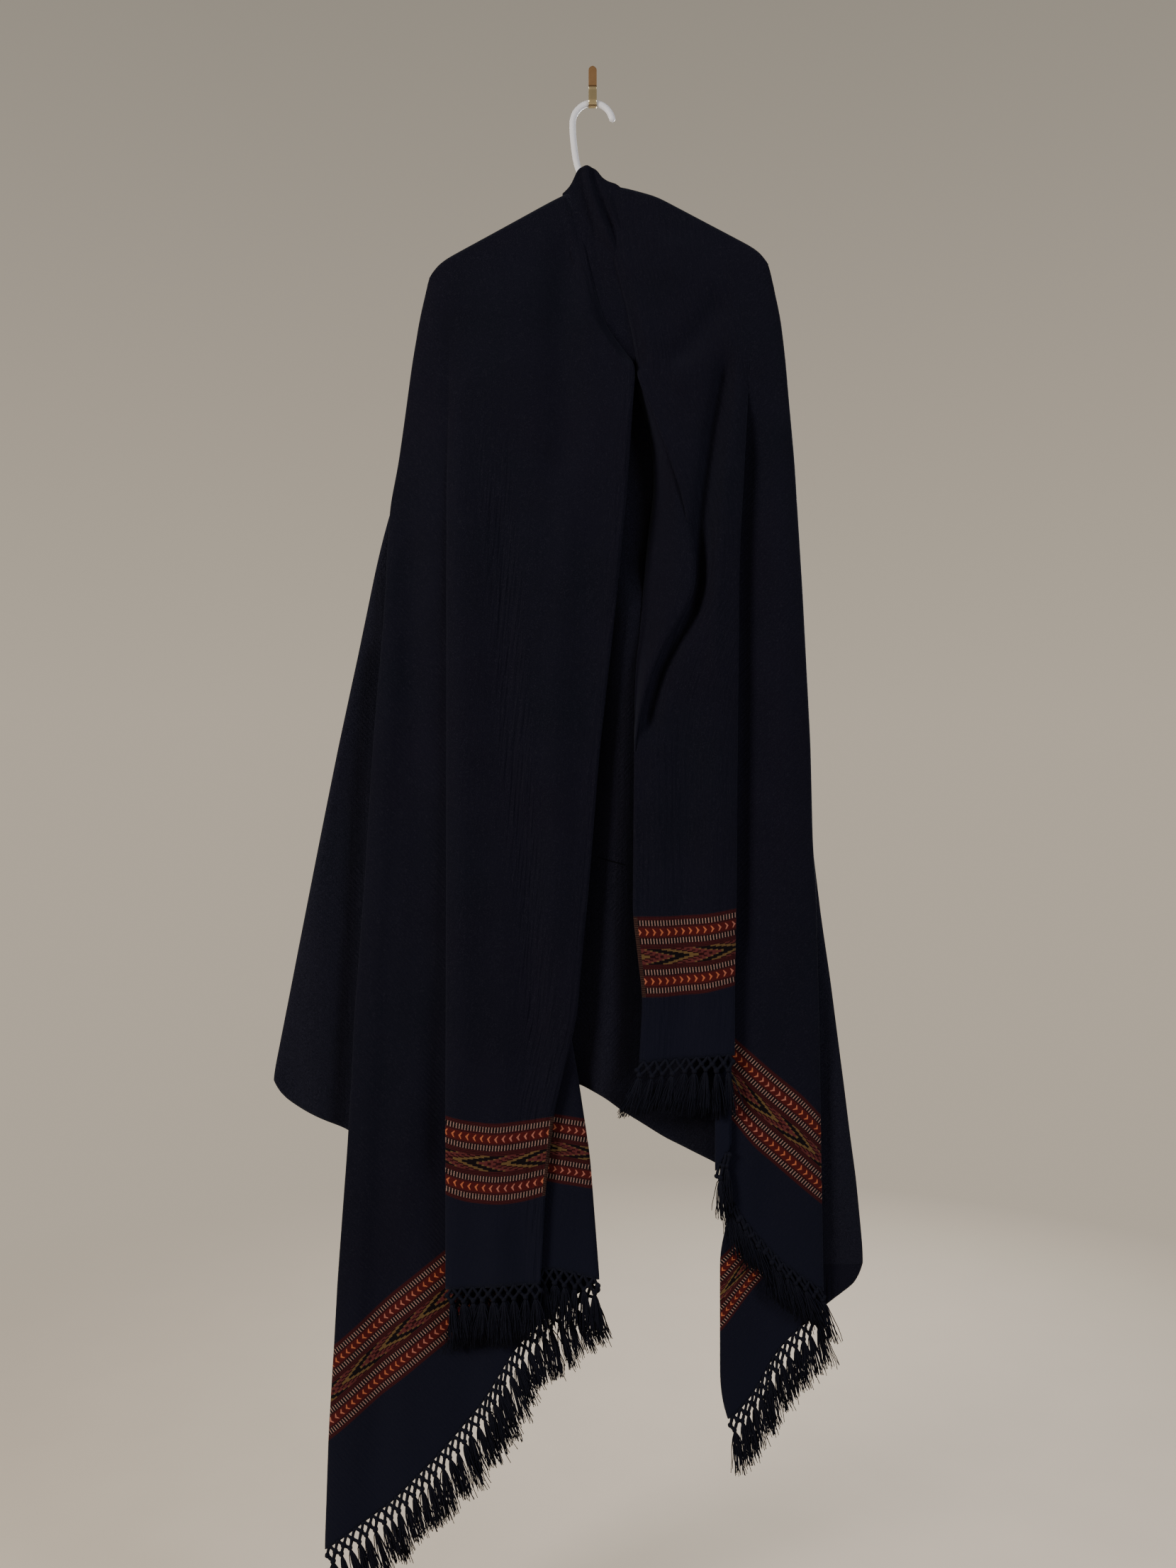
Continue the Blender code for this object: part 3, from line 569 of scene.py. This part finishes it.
def joined_on(name, x, z, out, turned):
    """Joins neighbouring stretches. `turned` is 1 on a front face and 0 behind its fold."""
    if name in JOINS:
        front, edge, shares = JOINS[name]
        table, folded = STRETCHES[front][:2]
        left, right, flat, curl, radius = levels(table)(z)
        ends = left if folded == LEFT else right
        edge = np.minimum(ends * folded, edge * folded) * folded
        start, turn, reach, depth = fold(ends, folded, curl, radius, FOLD_REACH[front])
        over = edge - folded * 0.0015  # just inside the front's edge
        hidden = np.maximum((over - x) * folded, 0)
        at = np.where(hidden > 0, x, over)
        angle = np.arcsin(np.clip((at - start) * folded / reach, 0, 1))
        target = flat - depth * (1 - np.cos(angle)) + relief(front, at, z) * fading(angle / turn)
        target = target - 0.35 * hidden * ramp(z, -0.3, -0.35)
        heights, follows = np.array(shares).T
        follow = np.interp(-z, -heights, follows)
        away = np.maximum((x - edge) * folded - 0.006, 0)
        out = out + (target - out) * follow * turned * np.exp(-((away / 0.03) ** 2))
    if name in DIPS:
        edge, inward = DIPS[name]
        past = np.maximum((edge - x) * inward, 0)
        out = out - 22 * np.minimum(past, 0.016) ** 2 * ramp(z, -0.4, -0.34)
    return out


def flat_coordinates(name, x, z, read):
    """w and v of points on a stretch, as it would lie flat."""
    if name not in BANDS:
        return x + PLAIN_W, z + (FACE_V if name in ("neck_gather", "right_lapel") else REVERSE_V)
    upper, lower, *threads = BANDS[name]
    high, low = line_z(upper, x), line_z(lower, x)
    v = BAND_HEIGHT * (z - low) / (high - low)
    if name == "left_front":
        return read(z)[1] - x, v
    if name == "right_front":
        return RIGHT_START + x - read(z)[0], v
    lean, way = threads
    angle = math.radians(lean)
    return 1.0 + way * (x * math.cos(angle) + z * math.sin(angle)), v


# ---- making meshes
def add_object(name, data):
    made = bpy.data.objects.new(name, data)
    bpy.context.scene.collection.objects.link(made)
    return made


def add_mesh(name, points, faces, material, uvs=None):
    mesh = bpy.data.meshes.new(name)
    mesh.from_pydata([tuple(p) for p in points], [], faces)
    if uvs is not None:
        layer = mesh.uv_layers.new(name="cloth")
        corners = np.empty(len(mesh.loops), np.int32)
        mesh.loops.foreach_get("vertex_index", corners)
        layer.data.foreach_set("uv", np.asarray(uvs, np.float32)[corners].ravel())
    mesh.materials.append(material)
    mesh.shade_smooth()
    return add_object(name, mesh)


def grid_faces(tall, wide):
    starts = [i * wide + j for i in range(tall - 1) for j in range(wide - 1)]
    return [(at, at + wide, at + wide + 1, at + 1) for at in starts]


def over_arm(x, out, z, w, v, rounded):
    """Adds the rows that carry a stretch up over the hanger's arm and down behind it."""
    angle = np.pi * (1 - np.arange(SHOULDER_ROWS) / SHOULDER_ROWS)[:, None]
    before, behind = np.maximum(np.cos(angle), 0), np.minimum(np.cos(angle), 0)
    end = x[0].min() if x[0].mean() < 0 else x[0].max()
    rise = SHOULDER_RISE * (1 - 0.55 * ramp(np.abs(x[0] - end), 0.014, 0) ** 2 * rounded)
    rows = np.broadcast_arrays(
        x[0], ARM_OUT + (out[0] - ARM_OUT) * before + SHOULDER_OUT * behind,
        z[0] + rise * np.sin(angle), w[0], v[0] + 0.03 * np.sin(angle / 2),
    )
    return [np.vstack(pair) for pair in zip(rows, (x, out, z, w, v))]


def cloth_grid(name):
    """Rows of points, with w and v, over one stretch of cloth."""
    pitch = NECK_PITCH if name == "neck_gather" else PITCH
    table, folded, upper, lower = STRETCHES[name]
    read = levels(table)
    widest = max(row[2] - row[1] for row in table)
    columns = np.linspace(0, 1, max(6, int(widest / pitch)) + 1)
    if folded is not None:
        columns = np.concatenate([columns, np.linspace(1, 2, CURL_COLUMNS + 1)[1:], TAIL_COLUMNS])
    top, bottom = table[0][0], table[-1][0]
    spread = FOLD_REACH.get(name, USUAL_REACH)
    tops, ends = (
        meet(read, folded, columns, line, top + 0.05, bottom - 0.05, spread)
        if line else np.full(columns.shape, level)
        for line, level in ((upper, top), (lower, bottom))
    )
    rows = max(6, int((tops - ends).max() / pitch)) + 1
    z = tops + (ends - tops) * np.linspace(0, 1, rows)[:, None]
    x, out = across(read, folded, np.broadcast_to(columns, z.shape), z, spread)
    w, v = flat_coordinates(name, x, z, read)
    out = turned_down(name, x, z, out + relief(name, x, z) * fading(columns - 1), read)
    if folded is not None:
        turned = 0.5 + 0.5 * np.cos(np.radians(read(z)[3]) * np.clip(columns - 1, 0, 1))
        out = joined_on(name, x, z, out, turned)
    out = out + sway(x, z)
    if name == "right_lapel":  # rolls back towards its free edge, as far as the back panel
        out = out + 0.0015 * np.sin(np.pi * columns) - 0.03 * np.maximum(1 - columns / 0.75, 0) ** 1.3
        panel = levels(BACK_PANEL)(z)[2] + relief("back_panel", x, z) + sway(x, z)
        out = np.maximum(out, panel + LAPEL_GAP)
    if name == "back_panel":  # comes forward round the ends of the arms
        left, right, _out = read(z)
        near = ramp(np.minimum(x - left, right - x), 0.008, 0)
        out = out + 0.011 * near**2 * ramp(z, -0.42, -0.34)
    if name == "neck_gather":  # rounds away at the sides near the top
        out = out - 0.005 * np.abs(2 * columns - 1) ** 4 * ramp(z, -0.24, -0.18)
    if upper is ARM_LINE:
        x, out, z, w, v = over_arm(x, out, z, w, v, rounded=name.endswith("middle"))
    return np.stack([x, -out, z], -1), np.stack([w, v], -1)


def add_cloth(name, material):
    """Makes one stretch. Returns the part of its last row that a fringe hangs from."""
    points, flat = cloth_grid(name)
    tall, wide = points.shape[:2]
    corners, faces = points.reshape(-1, 3), grid_faces(tall, wide)
    piece = add_mesh(name + "_cloth", corners, faces, material, flat.reshape(-1, 2))
    thick = piece.modifiers.new("thickness", "SOLIDIFY")
    thick.thickness = CLOTH
    thick.offset = 0
    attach(piece, "root")
    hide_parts(name)
    curled = 0 if STRETCHES[name][1] is None else CURL_COLUMNS + len(TAIL_COLUMNS)
    return points[-1, : wide - curled + FRINGED_COLUMNS]


def ring_faces(count, sides):
    """Faces round `count` rings of corners, with both ends closed."""
    faces = []
    for start in range(0, (count - 1) * sides, sides):
        for j in range(sides):
            beside = (j + 1) % sides
            faces.append((start + j, start + beside, start + sides + beside, start + sides + j))
    return faces + [tuple(range(sides - 1, -1, -1)), tuple(range((count - 1) * sides, count * sides))]


def headings(points):
    """The direction of a path at each of its points."""
    along = np.gradient(points, axis=0)
    return along / np.linalg.norm(along, axis=1)[:, None]


def tube(points, radii, sides):
    """Corners and faces of a tube through points, each ring square to the run."""
    points = np.asarray(points, float)
    along = headings(points)
    side = np.cross(along[0], (0.3, 1.0, 0.2))
    turns = np.arange(sides) * (2 * math.pi / sides)
    rings = []
    for centre, forward, radius in zip(points, along, np.broadcast_to(radii, len(points))):
        side = side - forward * np.dot(side, forward)
        side /= np.linalg.norm(side)
        other = np.cross(forward, side)
        rings.append(centre + radius * (np.outer(np.cos(turns), side) + np.outer(np.sin(turns), other)))
    return np.concatenate(rings), ring_faces(len(points), sides)


def joined(parts):
    """Several (corners, faces) as one."""
    corners, faces, total = [], [], 0
    for points, these in parts:
        corners.append(points)
        faces += [tuple(at + total for at in face) for face in these]
        total += len(points)
    return np.concatenate(corners), faces


def smooth_path(points, step=0.0015, steps=3):
    """A polyline drawn again at an even step with its corners eased."""
    points = np.asarray(points, float)
    run = run_along(points)
    at = np.linspace(0, run[-1], max(4, int(run[-1] / step)))
    eased = np.stack([soften(np.interp(at, run, axis), steps) for axis in points.T], -1)
    eased[0], eased[-1] = points[0], points[-1]
    return eased


def round_start(path, radius):
    """Radii along a path that close its first end round."""
    near = np.clip(run_along(path), 0.02 * radius, radius)
    return np.sqrt(radius**2 - (radius - near) ** 2)


def knot(centre, radius, squash):
    """A small round knot."""
    heights = np.linspace(-1, 1, 5)
    ring = [centre + np.array([0, 0, h * radius * squash]) for h in heights]
    return tube(ring, radius * np.sqrt(np.maximum(1 - heights**2, 0.04)), 7)


# ---- the fringe
KNOT_PITCH = 0.0136
FIRST_KNOT, SECOND_KNOT = 0.008, 0.0165  # below the cloth's edge
CORD_RADIUS = 0.002  # of the doubled cords between the knots
CORD_SHIFT = 0.0006  # how far the two of a pair lie to each side
STRANDS = 34  # in a tassel
STRAND_POINTS = 7
STRAND_RADII = np.linspace(0.00085, 0.0005, STRAND_POINTS)
STRAND_DEPTH = 0.0024  # the most that a strand strays towards or away from the wall


def add_fringe(name, edge, lean):
    """Two rows of knots and a row of tassels, hung from the last row of points of the cloth.

    `lean` is how far it leans towards +X at the edge's first point and at its last.
    """
    dice = random.Random(name)
    run = run_along(edge)
    count = max(2, round(run[-1] / KNOT_PITCH))
    pitch = run[-1] / count

    def leaning(share):
        return lean[0] + (lean[1] - lean[0]) * share / count

    def below(share, drop):
        """A point under the edge, `share` pitches along it."""
        at = min(max(share, 0), count) * pitch
        point = np.array([np.interp(at, run, edge[:, axis]) for axis in range(3)])
        return point + np.array([leaning(share) * drop, 0, -drop])

    def shaken(point, far):
        return point + np.array([dice.uniform(-far, far) * share for share in (1, 0.6, 1)])

    def strand(point, length, drift):
        """One strand of a tassel, which fans out and waves a little."""
        spread = dice.gauss(0, 0.0056)
        depth = dice.gauss(0, 0.0011)
        reach = length * dice.uniform(0.78, 1.03)
        phase, turns, shake = dice.uniform(0, 6.3), dice.uniform(1.0, 2.4), dice.uniform(0.0004, 0.0016)
        t = np.linspace(0, 1, STRAND_POINTS)
        fan = t**0.6
        x = drift * t * reach + spread * fan + shake * t * np.sin(phase + turns * 6.3 * t)
        y = np.clip(depth * fan, -STRAND_DEPTH, STRAND_DEPTH)
        y = y + 0.5 * shake * t * np.cos(phase + turns * 5 * t)
        return tube(point + np.stack([x, y, -reach * t], -1), STRAND_RADII, 3)

    parts = []
    starts = [shaken(below(k + 0.5, 0.0), 0.0004) + (0, 0, 0.002) for k in range(count)]
    upper = [shaken(below(k, FIRST_KNOT), 0.0009) for k in range(count + 1)]
    lower = [shaken(below(k + 0.5, SECOND_KNOT), 0.0014) for k in range(count)]
    for k in range(count):
        left, right = upper[k], upper[k + 1]
        for a, b in ((starts[k], left), (starts[k], right), (left, lower[k]), (right, lower[k])):
            for shift in (-CORD_SHIFT, CORD_SHIFT):
                middle = shaken((a + b) / 2, 0.0005) + (0, shift, 0)
                path = [a, (a + middle) / 2 + (shift * 0.5, 0, 0), middle, (middle + b) / 2, b]
                parts.append(tube(path, CORD_RADIUS, 5))
    for point in upper + lower:
        parts.append(knot(point, dice.uniform(0.0032, 0.0041), dice.uniform(0.9, 1.2)))
    for k, point in enumerate(lower):
        length = (FRINGE_REACH - SECOND_KNOT) * dice.uniform(0.86, 1.05)
        drift = leaning(k + 0.5) + dice.uniform(-0.06, 0.12)
        parts += [strand(point, length, drift) for _ in range(STRANDS)]
    corners, faces = joined(parts)
    piece = add_mesh(name + "_tassels", corners, faces, TASSEL)
    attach(piece, "root")
    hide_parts(name + "_fringe")


# ---- the hanger and the wall hook
ROD_SIDES = 20


def add_hanger():
    """One run for the crook and stem, and a loop for the arms and bar, as (x, z, out) at first."""
    turns = [math.radians(2 + 178 * i / 40) for i in range(41)]
    hook = [(HOOK_RADIUS * math.cos(t), HOOK_CENTRE_Z + HOOK_RADIUS * math.sin(t), HOOK_OUT) for t in turns]
    hook = smooth_path(hook + STEM + [(0.008, -0.156, ARM_OUT)])
    (left_x, left_z), (right_x, right_z) = ARM_LINE[0], ARM_LINE[-1]
    loop = ARM_LINE[5:] + [
        (right_x + 0.0015, right_z - 0.006), (right_x + 0.0008, right_z - 0.029),
        (right_x - 0.005, BAR_Z + 0.001), (right_x - 0.013, BAR_Z),
        (left_x + 0.013, BAR_Z), (left_x + 0.005, BAR_Z + 0.001),
        (left_x - 0.001, left_z - 0.014), (left_x - 0.0015, left_z - 0.006),
    ] + ARM_LINE[:6]
    loop = smooth_path([(x, z, ARM_OUT) for x, z in loop], step=0.003, steps=1)
    hook, loop = (path[:, [0, 2, 1]] * (1, -1, 1) for path in (hook, loop))
    parts = [tube(hook, round_start(hook, ROD_RADIUS), ROD_SIDES), tube(loop, ROD_RADIUS, ROD_SIDES)]
    piece = add_mesh("hanger", *joined(parts), PLASTIC)
    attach(piece, "root")
    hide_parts("hanger_hook", "hanger_arm_left", "hanger_arm_right", "hanger_bar")


def add_wall_hook():
    """One strip: a plate with a round top, a half-round crook under it and a lip in front."""
    half = PLATE_WIDTH / 2
    middle = CROOK_RADIUS + PLATE_THICK / 2
    inner = HOOK_RADIUS - ROD_RADIUS
    drop = inner - math.sqrt(inner**2 - half**2)
    crook_z = HOOK_CENTRE_Z + inner - drop - 0.0003 + CROOK_RADIUS
    lip_out = HOOK_OUT + middle
    path = [(PLATE_TOP_Z - i * 0.0004, PLATE_THICK / 2) for i in range(14)]
    path += [(z, PLATE_THICK / 2) for z in np.linspace(path[-1][0], crook_z, 8)[1:]]
    turns = np.linspace(0, math.pi, 19)[1:-1]
    path += [(crook_z - middle * math.sin(t), HOOK_OUT - middle * math.cos(t)) for t in turns]
    path += [(crook_z, lip_out), (LIP_TOP_Z - 0.005, lip_out), (LIP_TOP_Z - 0.003, lip_out + 0.0001)]
    path += [(LIP_TOP_Z - 0.0015, lip_out + 0.0004), (LIP_TOP_Z, lip_out + 0.001)]
    # A section, going round: share of the half width, and share of the half thickness.
    right = [(0.25, 1.2), (0.7, 1.05), (0.9, 0.9), (0.98, 0.55)]
    right += [(1.0, 0.0), (0.98, -0.6), (0.9, -0.95), (0.3, -1.0)]
    section = right + [(-share, lift) for share, lift in reversed(right)]
    corners = []
    for (z, out), (down, outward) in zip(path, headings(np.array(path))):
        inset = max(half - (PLATE_TOP_Z - z), 0) if out < PLATE_THICK else 0
        wide = math.sqrt(max(half**2 - inset**2, 0.05 * half**2))
        for share, lift in section:
            lift *= PLATE_THICK / 2
            corners.append((wide * share, -(out - down * lift), z + outward * lift))
    piece = add_mesh("wall_hook_strip", corners, ring_faces(len(path), len(section)), BRASS)
    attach(piece, "root")
    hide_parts("wall_hook")


# ---- materials
class Field:
    """A number in a shader that sums can be written with."""

    def __init__(self, tree, socket):
        self.tree, self.socket = tree, socket

    def work(self, operation, *others):
        node = self.tree.nodes.new("ShaderNodeMath")
        node.operation = operation
        for entry, value in zip(node.inputs, (self, *others)):
            if isinstance(value, Field):
                self.tree.links.new(value.socket, entry)
            else:
                entry.default_value = value
        return Field(self.tree, node.outputs[0])

    def __add__(self, other):
        return self.work("ADD", other)

    def __sub__(self, other):
        return self.work("SUBTRACT", other)

    def __mul__(self, other):
        return self.work("MULTIPLY", other)

    def __truediv__(self, other):
        return self.work("DIVIDE", other)

    def __abs__(self):
        return self.work("ABSOLUTE")

    def wave(self, period):
        """A sine with this period."""
        return (self * (2 * math.pi / period)).work("SINE")

    def above(self, edge, soft=0.0002):
        """0 below the edge and 1 above it."""
        return ((self - edge) / soft + 0.5).work("MAXIMUM", 0.0).most(1.0)

    def below(self, edge, soft=0.0002):
        return self.above(edge, soft).work("MULTIPLY_ADD", -1.0, 1.0)

    def between(self, low, high, soft=0.0002):
        return self.above(low, soft) * self.below(high, soft)

    def most(self, limit):
        return self.work("MINIMUM", limit)

    def mix(self, first, second):
        """One colour passing into another. Colours are sockets or three numbers."""
        node = self.tree.nodes.new("ShaderNodeMix")
        node.data_type = "RGBA"
        self.tree.links.new(self.socket, node.inputs[0])
        for entry, colour in ((node.inputs[6], first), (node.inputs[7], second)):
            if isinstance(colour, tuple):
                entry.default_value = (*colour, 1.0)
            else:
                self.tree.links.new(colour, entry)
        return node.outputs[2]


def numbers_of(tree, vector):
    """The three numbers of a vector in a shader."""
    node = tree.nodes.new("ShaderNodeSeparateXYZ")
    tree.links.new(vector, node.inputs[0])
    return [Field(tree, socket) for socket in node.outputs]


def set_inputs(node, values):
    for entry, value in values.items():
        node.inputs[entry].default_value = value


def noise(tree, vector, scale, detail=2.0, dims="3D"):
    node = tree.nodes.new("ShaderNodeTexNoise")
    node.noise_dimensions = dims
    set_inputs(node, {"Scale": scale, "Detail": detail})
    tree.links.new(vector, node.inputs["Vector"])
    return Field(tree, node.outputs["Fac"])


def new_material(name):
    """A material, its tree, its shader, and the places on the object."""
    material = bpy.data.materials.new(name)
    material.use_nodes = True
    tree = material.node_tree
    place = tree.nodes.new("ShaderNodeTexCoord").outputs["Object"]
    return material, tree, tree.nodes["Principled BSDF"], place


def add_bump(tree, shader, height, strength, distance):
    bump = tree.nodes.new("ShaderNodeBump")
    set_inputs(bump, {"Strength": strength, "Distance": distance})
    tree.links.new(height.socket, bump.inputs["Height"])
    tree.links.new(bump.outputs[0], shader.inputs["Normal"])


def band_colour(w, v, rough, ground):
    """The woven band: rows of ticks and arrowheads either side of stepped chevrons."""
    maroon, rust, red = (0.013, 0.0024, 0.0031), (0.034, 0.0064, 0.0066), (0.038, 0.0045, 0.0042)
    cream, black, orange = (0.195, 0.112, 0.092), (0.0035, 0.0022, 0.0027), (0.25, 0.07, 0.03)
    dusty, olive, pink = (0.056, 0.013, 0.0125), (0.072, 0.042, 0.016), (0.225, 0.078, 0.055)
    rung, gap = (0.07, 0.04, 0.03), (0.008, 0.002, 0.002)
    arrow_row, arrow_repeat, chevron_repeat, step = 0.0322, 0.0095, 0.064, 0.0017
    w = w + (rough - 0.5) * 0.001
    away = abs(v - BAND_HEIGHT / 2)
    colour = away.wave(0.0021).above(0.35, 0.5).mix(maroon, rust)
    colour = away.between(0.0265, 0.038).mix(colour, red)
    # ticks
    ticks = (away.between(0.0168, 0.024) + away.between(0.0407, 0.0479)).most(1.0)
    tick = w.wave(0.0039).above(0.5, 0.5) * (rough + 0.35)
    colour = ticks.mix(colour, tick.mix(black, cream))
    # arrowheads
    height = abs(away - arrow_row)
    along = (w / arrow_repeat).work("FRACT") * arrow_repeat
    head = along.below(height * -0.8 + 0.008) * along.above(height * -0.45 + 0.0052) * height.below(0.0044)
    turn = (w * 37.0).work("SINE").above(0.4, 0.8)
    colour = head.mix(colour, turn.mix(orange, pink))
    # chevrons
    stepped = (away / step).work("FLOOR") * step
    phase = ((w + stepped * 4.2 - 0.0303) / chevron_repeat).work("FRACT")
    chevron = black
    for start, end, tone in (  # a repeat is 0 to 1, so an end of 2 isn't reached
        (0.3, 2, olive), (0.49, 2, maroon), (0.6, 2, dusty), (0.7, 0.77, maroon), (0.95, 2, olive),
    ):
        chevron = phase.between(start, end, 0.01).mix(chevron, tone)
    colour = away.below(0.0102).mix(colour, chevron)
    # The selvedges of the two fronts, where the rows give way to short rungs.
    edge = (w.below(0.0045) + w.between(RIGHT_START - 0.001, RIGHT_START + 0.005)).most(1.0)
    rungs = v.wave(0.0024).above(0.3, 0.6) * rough
    colour = edge.mix(colour, rungs.mix(gap, rung))
    return away.below(BAND_HEIGHT / 2).mix(ground, colour)


def wool(name):
    """Navy wool with the woven band in it, a fuzzier reverse, and fine ribs and crinkles."""
    material, tree, shader, place = new_material(name)
    flat = tree.nodes.new("ShaderNodeUVMap")
    flat.uv_map = "cloth"
    w, v, _ = numbers_of(tree, flat.outputs["UV"])
    x, _, z = numbers_of(tree, place)
    fine, broad = noise(tree, place, 900.0), noise(tree, place, 14.0)
    reverse = v.above(1.42)
    tint = noise(tree, place, 5.0).above(0.5, 0.25)
    ground = tint.mix((0.0025, 0.0021, 0.0049), (0.0019, 0.0023, 0.0047))
    ground = broad.mix(ground, (0.0034, 0.0032, 0.0072))
    ground = fine.above(0.62, 0.2).mix(ground, (0.0082, 0.0078, 0.013))
    ground = (fine.above(0.5, 0.25) * reverse * 0.6).mix(ground, (0.0105, 0.0105, 0.0175))
    # One thin line of painted shade along a pleat of the back panel, seen in the opening.
    pleat_shade = (v + w * 0.28).between(2.101, 2.1028, 0.0008) * w.between(0.506, 0.544, 0.004)
    ground = pleat_shade.mix(ground, (0.0006, 0.0006, 0.0012))
    ground = v.below(0.0, 0.4).mix(ground, (0.004, 0.0045, 0.0102))
    tree.links.new(band_colour(w, v, fine, ground), shader.inputs["Base Color"])
    set_inputs(shader, {
        "Roughness": 0.85, "Specular IOR Level": 0.03,
        "Sheen Weight": 0.045, "Sheen Roughness": 0.5, "Sheen Tint": (0.55, 0.62, 0.85, 1.0),
    })
    # Crinkles along the threads, strongest in strips of the two fronts.
    stretched = tree.nodes.new("ShaderNodeCombineXYZ")
    tree.links.new((w * 230.0).socket, stretched.inputs[0])
    tree.links.new((v * 14.0).socket, stretched.inputs[1])
    crinkle = noise(tree, stretched.outputs[0], 1.0, detail=1.0, dims="2D")
    strips = (w - v * 0.1745).between(-0.016, 0.026, 0.016) * v.below(0.95, 0.2) * 1.6
    strips += w.below(0.016, 0.01)
    strips += w.between(0.7, 0.9) * v.below(1.4) * 0.7
    # Slanting ribs, on the stretches whose threads hang at an angle.
    loose = (w.above(0.96) + reverse).most(1.0)
    ribs = (z - abs(x) * 1.2).wave(0.0078) * loose * broad
    height = crinkle * (strips + 0.25) * 1.8 + fine * (reverse * 0.8 + 0.6) + ribs * 0.2
    add_bump(tree, shader, height, 0.8, 0.0012)
    return material


def plain(name, colour, other, rough, metallic=0.0, scale=200.0, strength=0.1, specular=0.5, lower=None):
    """A varied finish. `lower`: a height, the colour below it, the heights of lines of painted shade, their
    colour.
    On the hook these are painted light: above the height is painted shade and reflection, and below it is
    lit brass.
    """
    material, tree, shader, place = new_material(name)
    varied = noise(tree, place, scale)
    tone = varied.mix(colour, other)
    if lower:
        height = numbers_of(tree, place)[2]
        edge, lit_lip_colour, shade_lines, shade_colour = lower
        # painted light: a lit colour below the height, and thin lines of painted shade
        tone = height.below(edge, 0.003).mix(tone, lit_lip_colour)
        for line in shade_lines:
            tone = (height.between(line - 0.0007, line + 0.0007, 0.0008) * 0.75).mix(tone, shade_colour)
    tree.links.new(tone, shader.inputs["Base Color"])
    set_inputs(shader, {"Roughness": rough, "Metallic": metallic, "Specular IOR Level": specular})
    add_bump(tree, shader, varied, strength, 0.0004)
    return material


WOOL = wool("wool_cloth")
TASSEL = plain(
    "tassel_yarn", (0.0026, 0.003, 0.0062), (0.006, 0.0064, 0.0115), 0.85,
    scale=700, strength=0.4, specular=0.05,
)
PLASTIC = plain(
    "hanger_plastic", (0.5, 0.5, 0.53), (0.54, 0.54, 0.57), 0.45,
    scale=60, strength=0.02, specular=0.25,
)
# One brass strip with painted light. The plate's copper tone is painted shade and reflection, and the lip's
# gold is lit brass. The line at -0.0054 is a painted shadow under the lip's top edge, and the one at
# -0.0375 is painted shade at the bend.
BRASS = plain(
    "hook_brass", (0.62, 0.4, 0.22), (0.5, 0.3, 0.16), 0.22,
    metallic=1.0, scale=160, strength=0.03,
    lower=(-0.0125, (0.54, 0.46, 0.29), (-0.0054, -0.0375), (0.1, 0.055, 0.025)),
)

# ---- the object
FRINGE_LEAN = {
    "left_front": (0, 0), "left_return": (0, 0), "left_middle": (0.26, 0.26), "right_front": (-0.38, 0),
    "right_return": (0, 0), "right_middle": (0.16, 0.28), "right_under": (0.16, 0.16),
}
for stretch in STRETCHES:
    last_row = add_cloth(stretch, WOOL)
    if stretch in FRINGE_LEAN:
        add_fringe(stretch, last_row, FRINGE_LEAN[stretch])
add_hanger()
add_wall_hook()

# ---- floor, light and camera
FLOOR_Z, FLOOR_HALF = -2.15, 4
ROOM = (0.75, 0.645, 0.51)
HIGH_ROOM = (0.45, 0.4, 0.33)
ROOM_STRENGTH = 0.7
BLACK = (0.0, 0.0, 0.0)

floor_paint = plain("floor_paint", (0.43, 0.375, 0.31), (0.46, 0.4, 0.33), 0.9, scale=8, specular=0.0)
corners = [(FLOOR_HALF * x, FLOOR_HALF * y, FLOOR_Z) for x, y in ((-1, -1), (1, -1), (1, 1), (-1, 1))]
floor = add_mesh("floor", corners, [(0, 1, 2, 3)], floor_paint)
# Away from the object the paint takes on the light of the room, so that no far edge shows.
tree = floor_paint.node_tree
paint = tree.nodes["Principled BSDF"]
reach = tree.nodes.new("ShaderNodeVectorMath")
reach.operation = "LENGTH"
tree.links.new(tree.nodes.new("ShaderNodeTexCoord").outputs["Object"], reach.inputs[0])
far = (Field(tree, reach.outputs["Value"]) + FLOOR_Z).above(0.55, 0.9)
near = paint.inputs["Base Color"].links[0].from_socket
tree.links.new(far.mix(near, BLACK), paint.inputs["Base Color"])
tree.links.new(far.mix(BLACK, ROOM), paint.inputs["Emission Color"])
paint.inputs["Emission Strength"].default_value = ROOM_STRENGTH

world = bpy.data.worlds.new("room")
world.use_nodes = True
tree = world.node_tree
back = tree.nodes["Background"]
up = numbers_of(tree, tree.nodes.new("ShaderNodeTexCoord").outputs["Generated"])[2]
tree.links.new(up.above(0.3, 0.5).mix(ROOM, HIGH_ROOM), back.inputs[0])
back.inputs[1].default_value = ROOM_STRENGTH
bpy.context.scene.world = world


def add_light(name, place, aim, size, power, colour=(1, 1, 1)):
    data = bpy.data.lights.new(name, "AREA")
    data.shape = "DISK"
    data.size = size
    data.energy = power
    data.color = colour
    light = add_object(name, data)
    light.location = place
    light.rotation_euler = (Vector(aim) - Vector(place)).to_track_quat("-Z", "Y").to_euler()


add_light("key", (-2.5, -1.9, -0.2), (0, 0, -0.9), 1.2, 135, (1.0, 0.95, 0.88))
add_light("fill", (2.4, -1.6, -0.2), (0, 0, -1.0), 1.2, 58, (0.85, 0.9, 1.0))
add_light("behind", (1.2, 2.3, -0.1), (0, 0, -1.0), 1.6, 130)

camera = add_object("camera", bpy.data.cameras.new("camera"))
camera.data.lens = 29.9
camera.data.sensor_width = 36
camera.location = (-0.0062, -1.75, -0.9432)
camera.rotation_euler = (math.radians(90), 0, 0)
bpy.context.scene.camera = camera
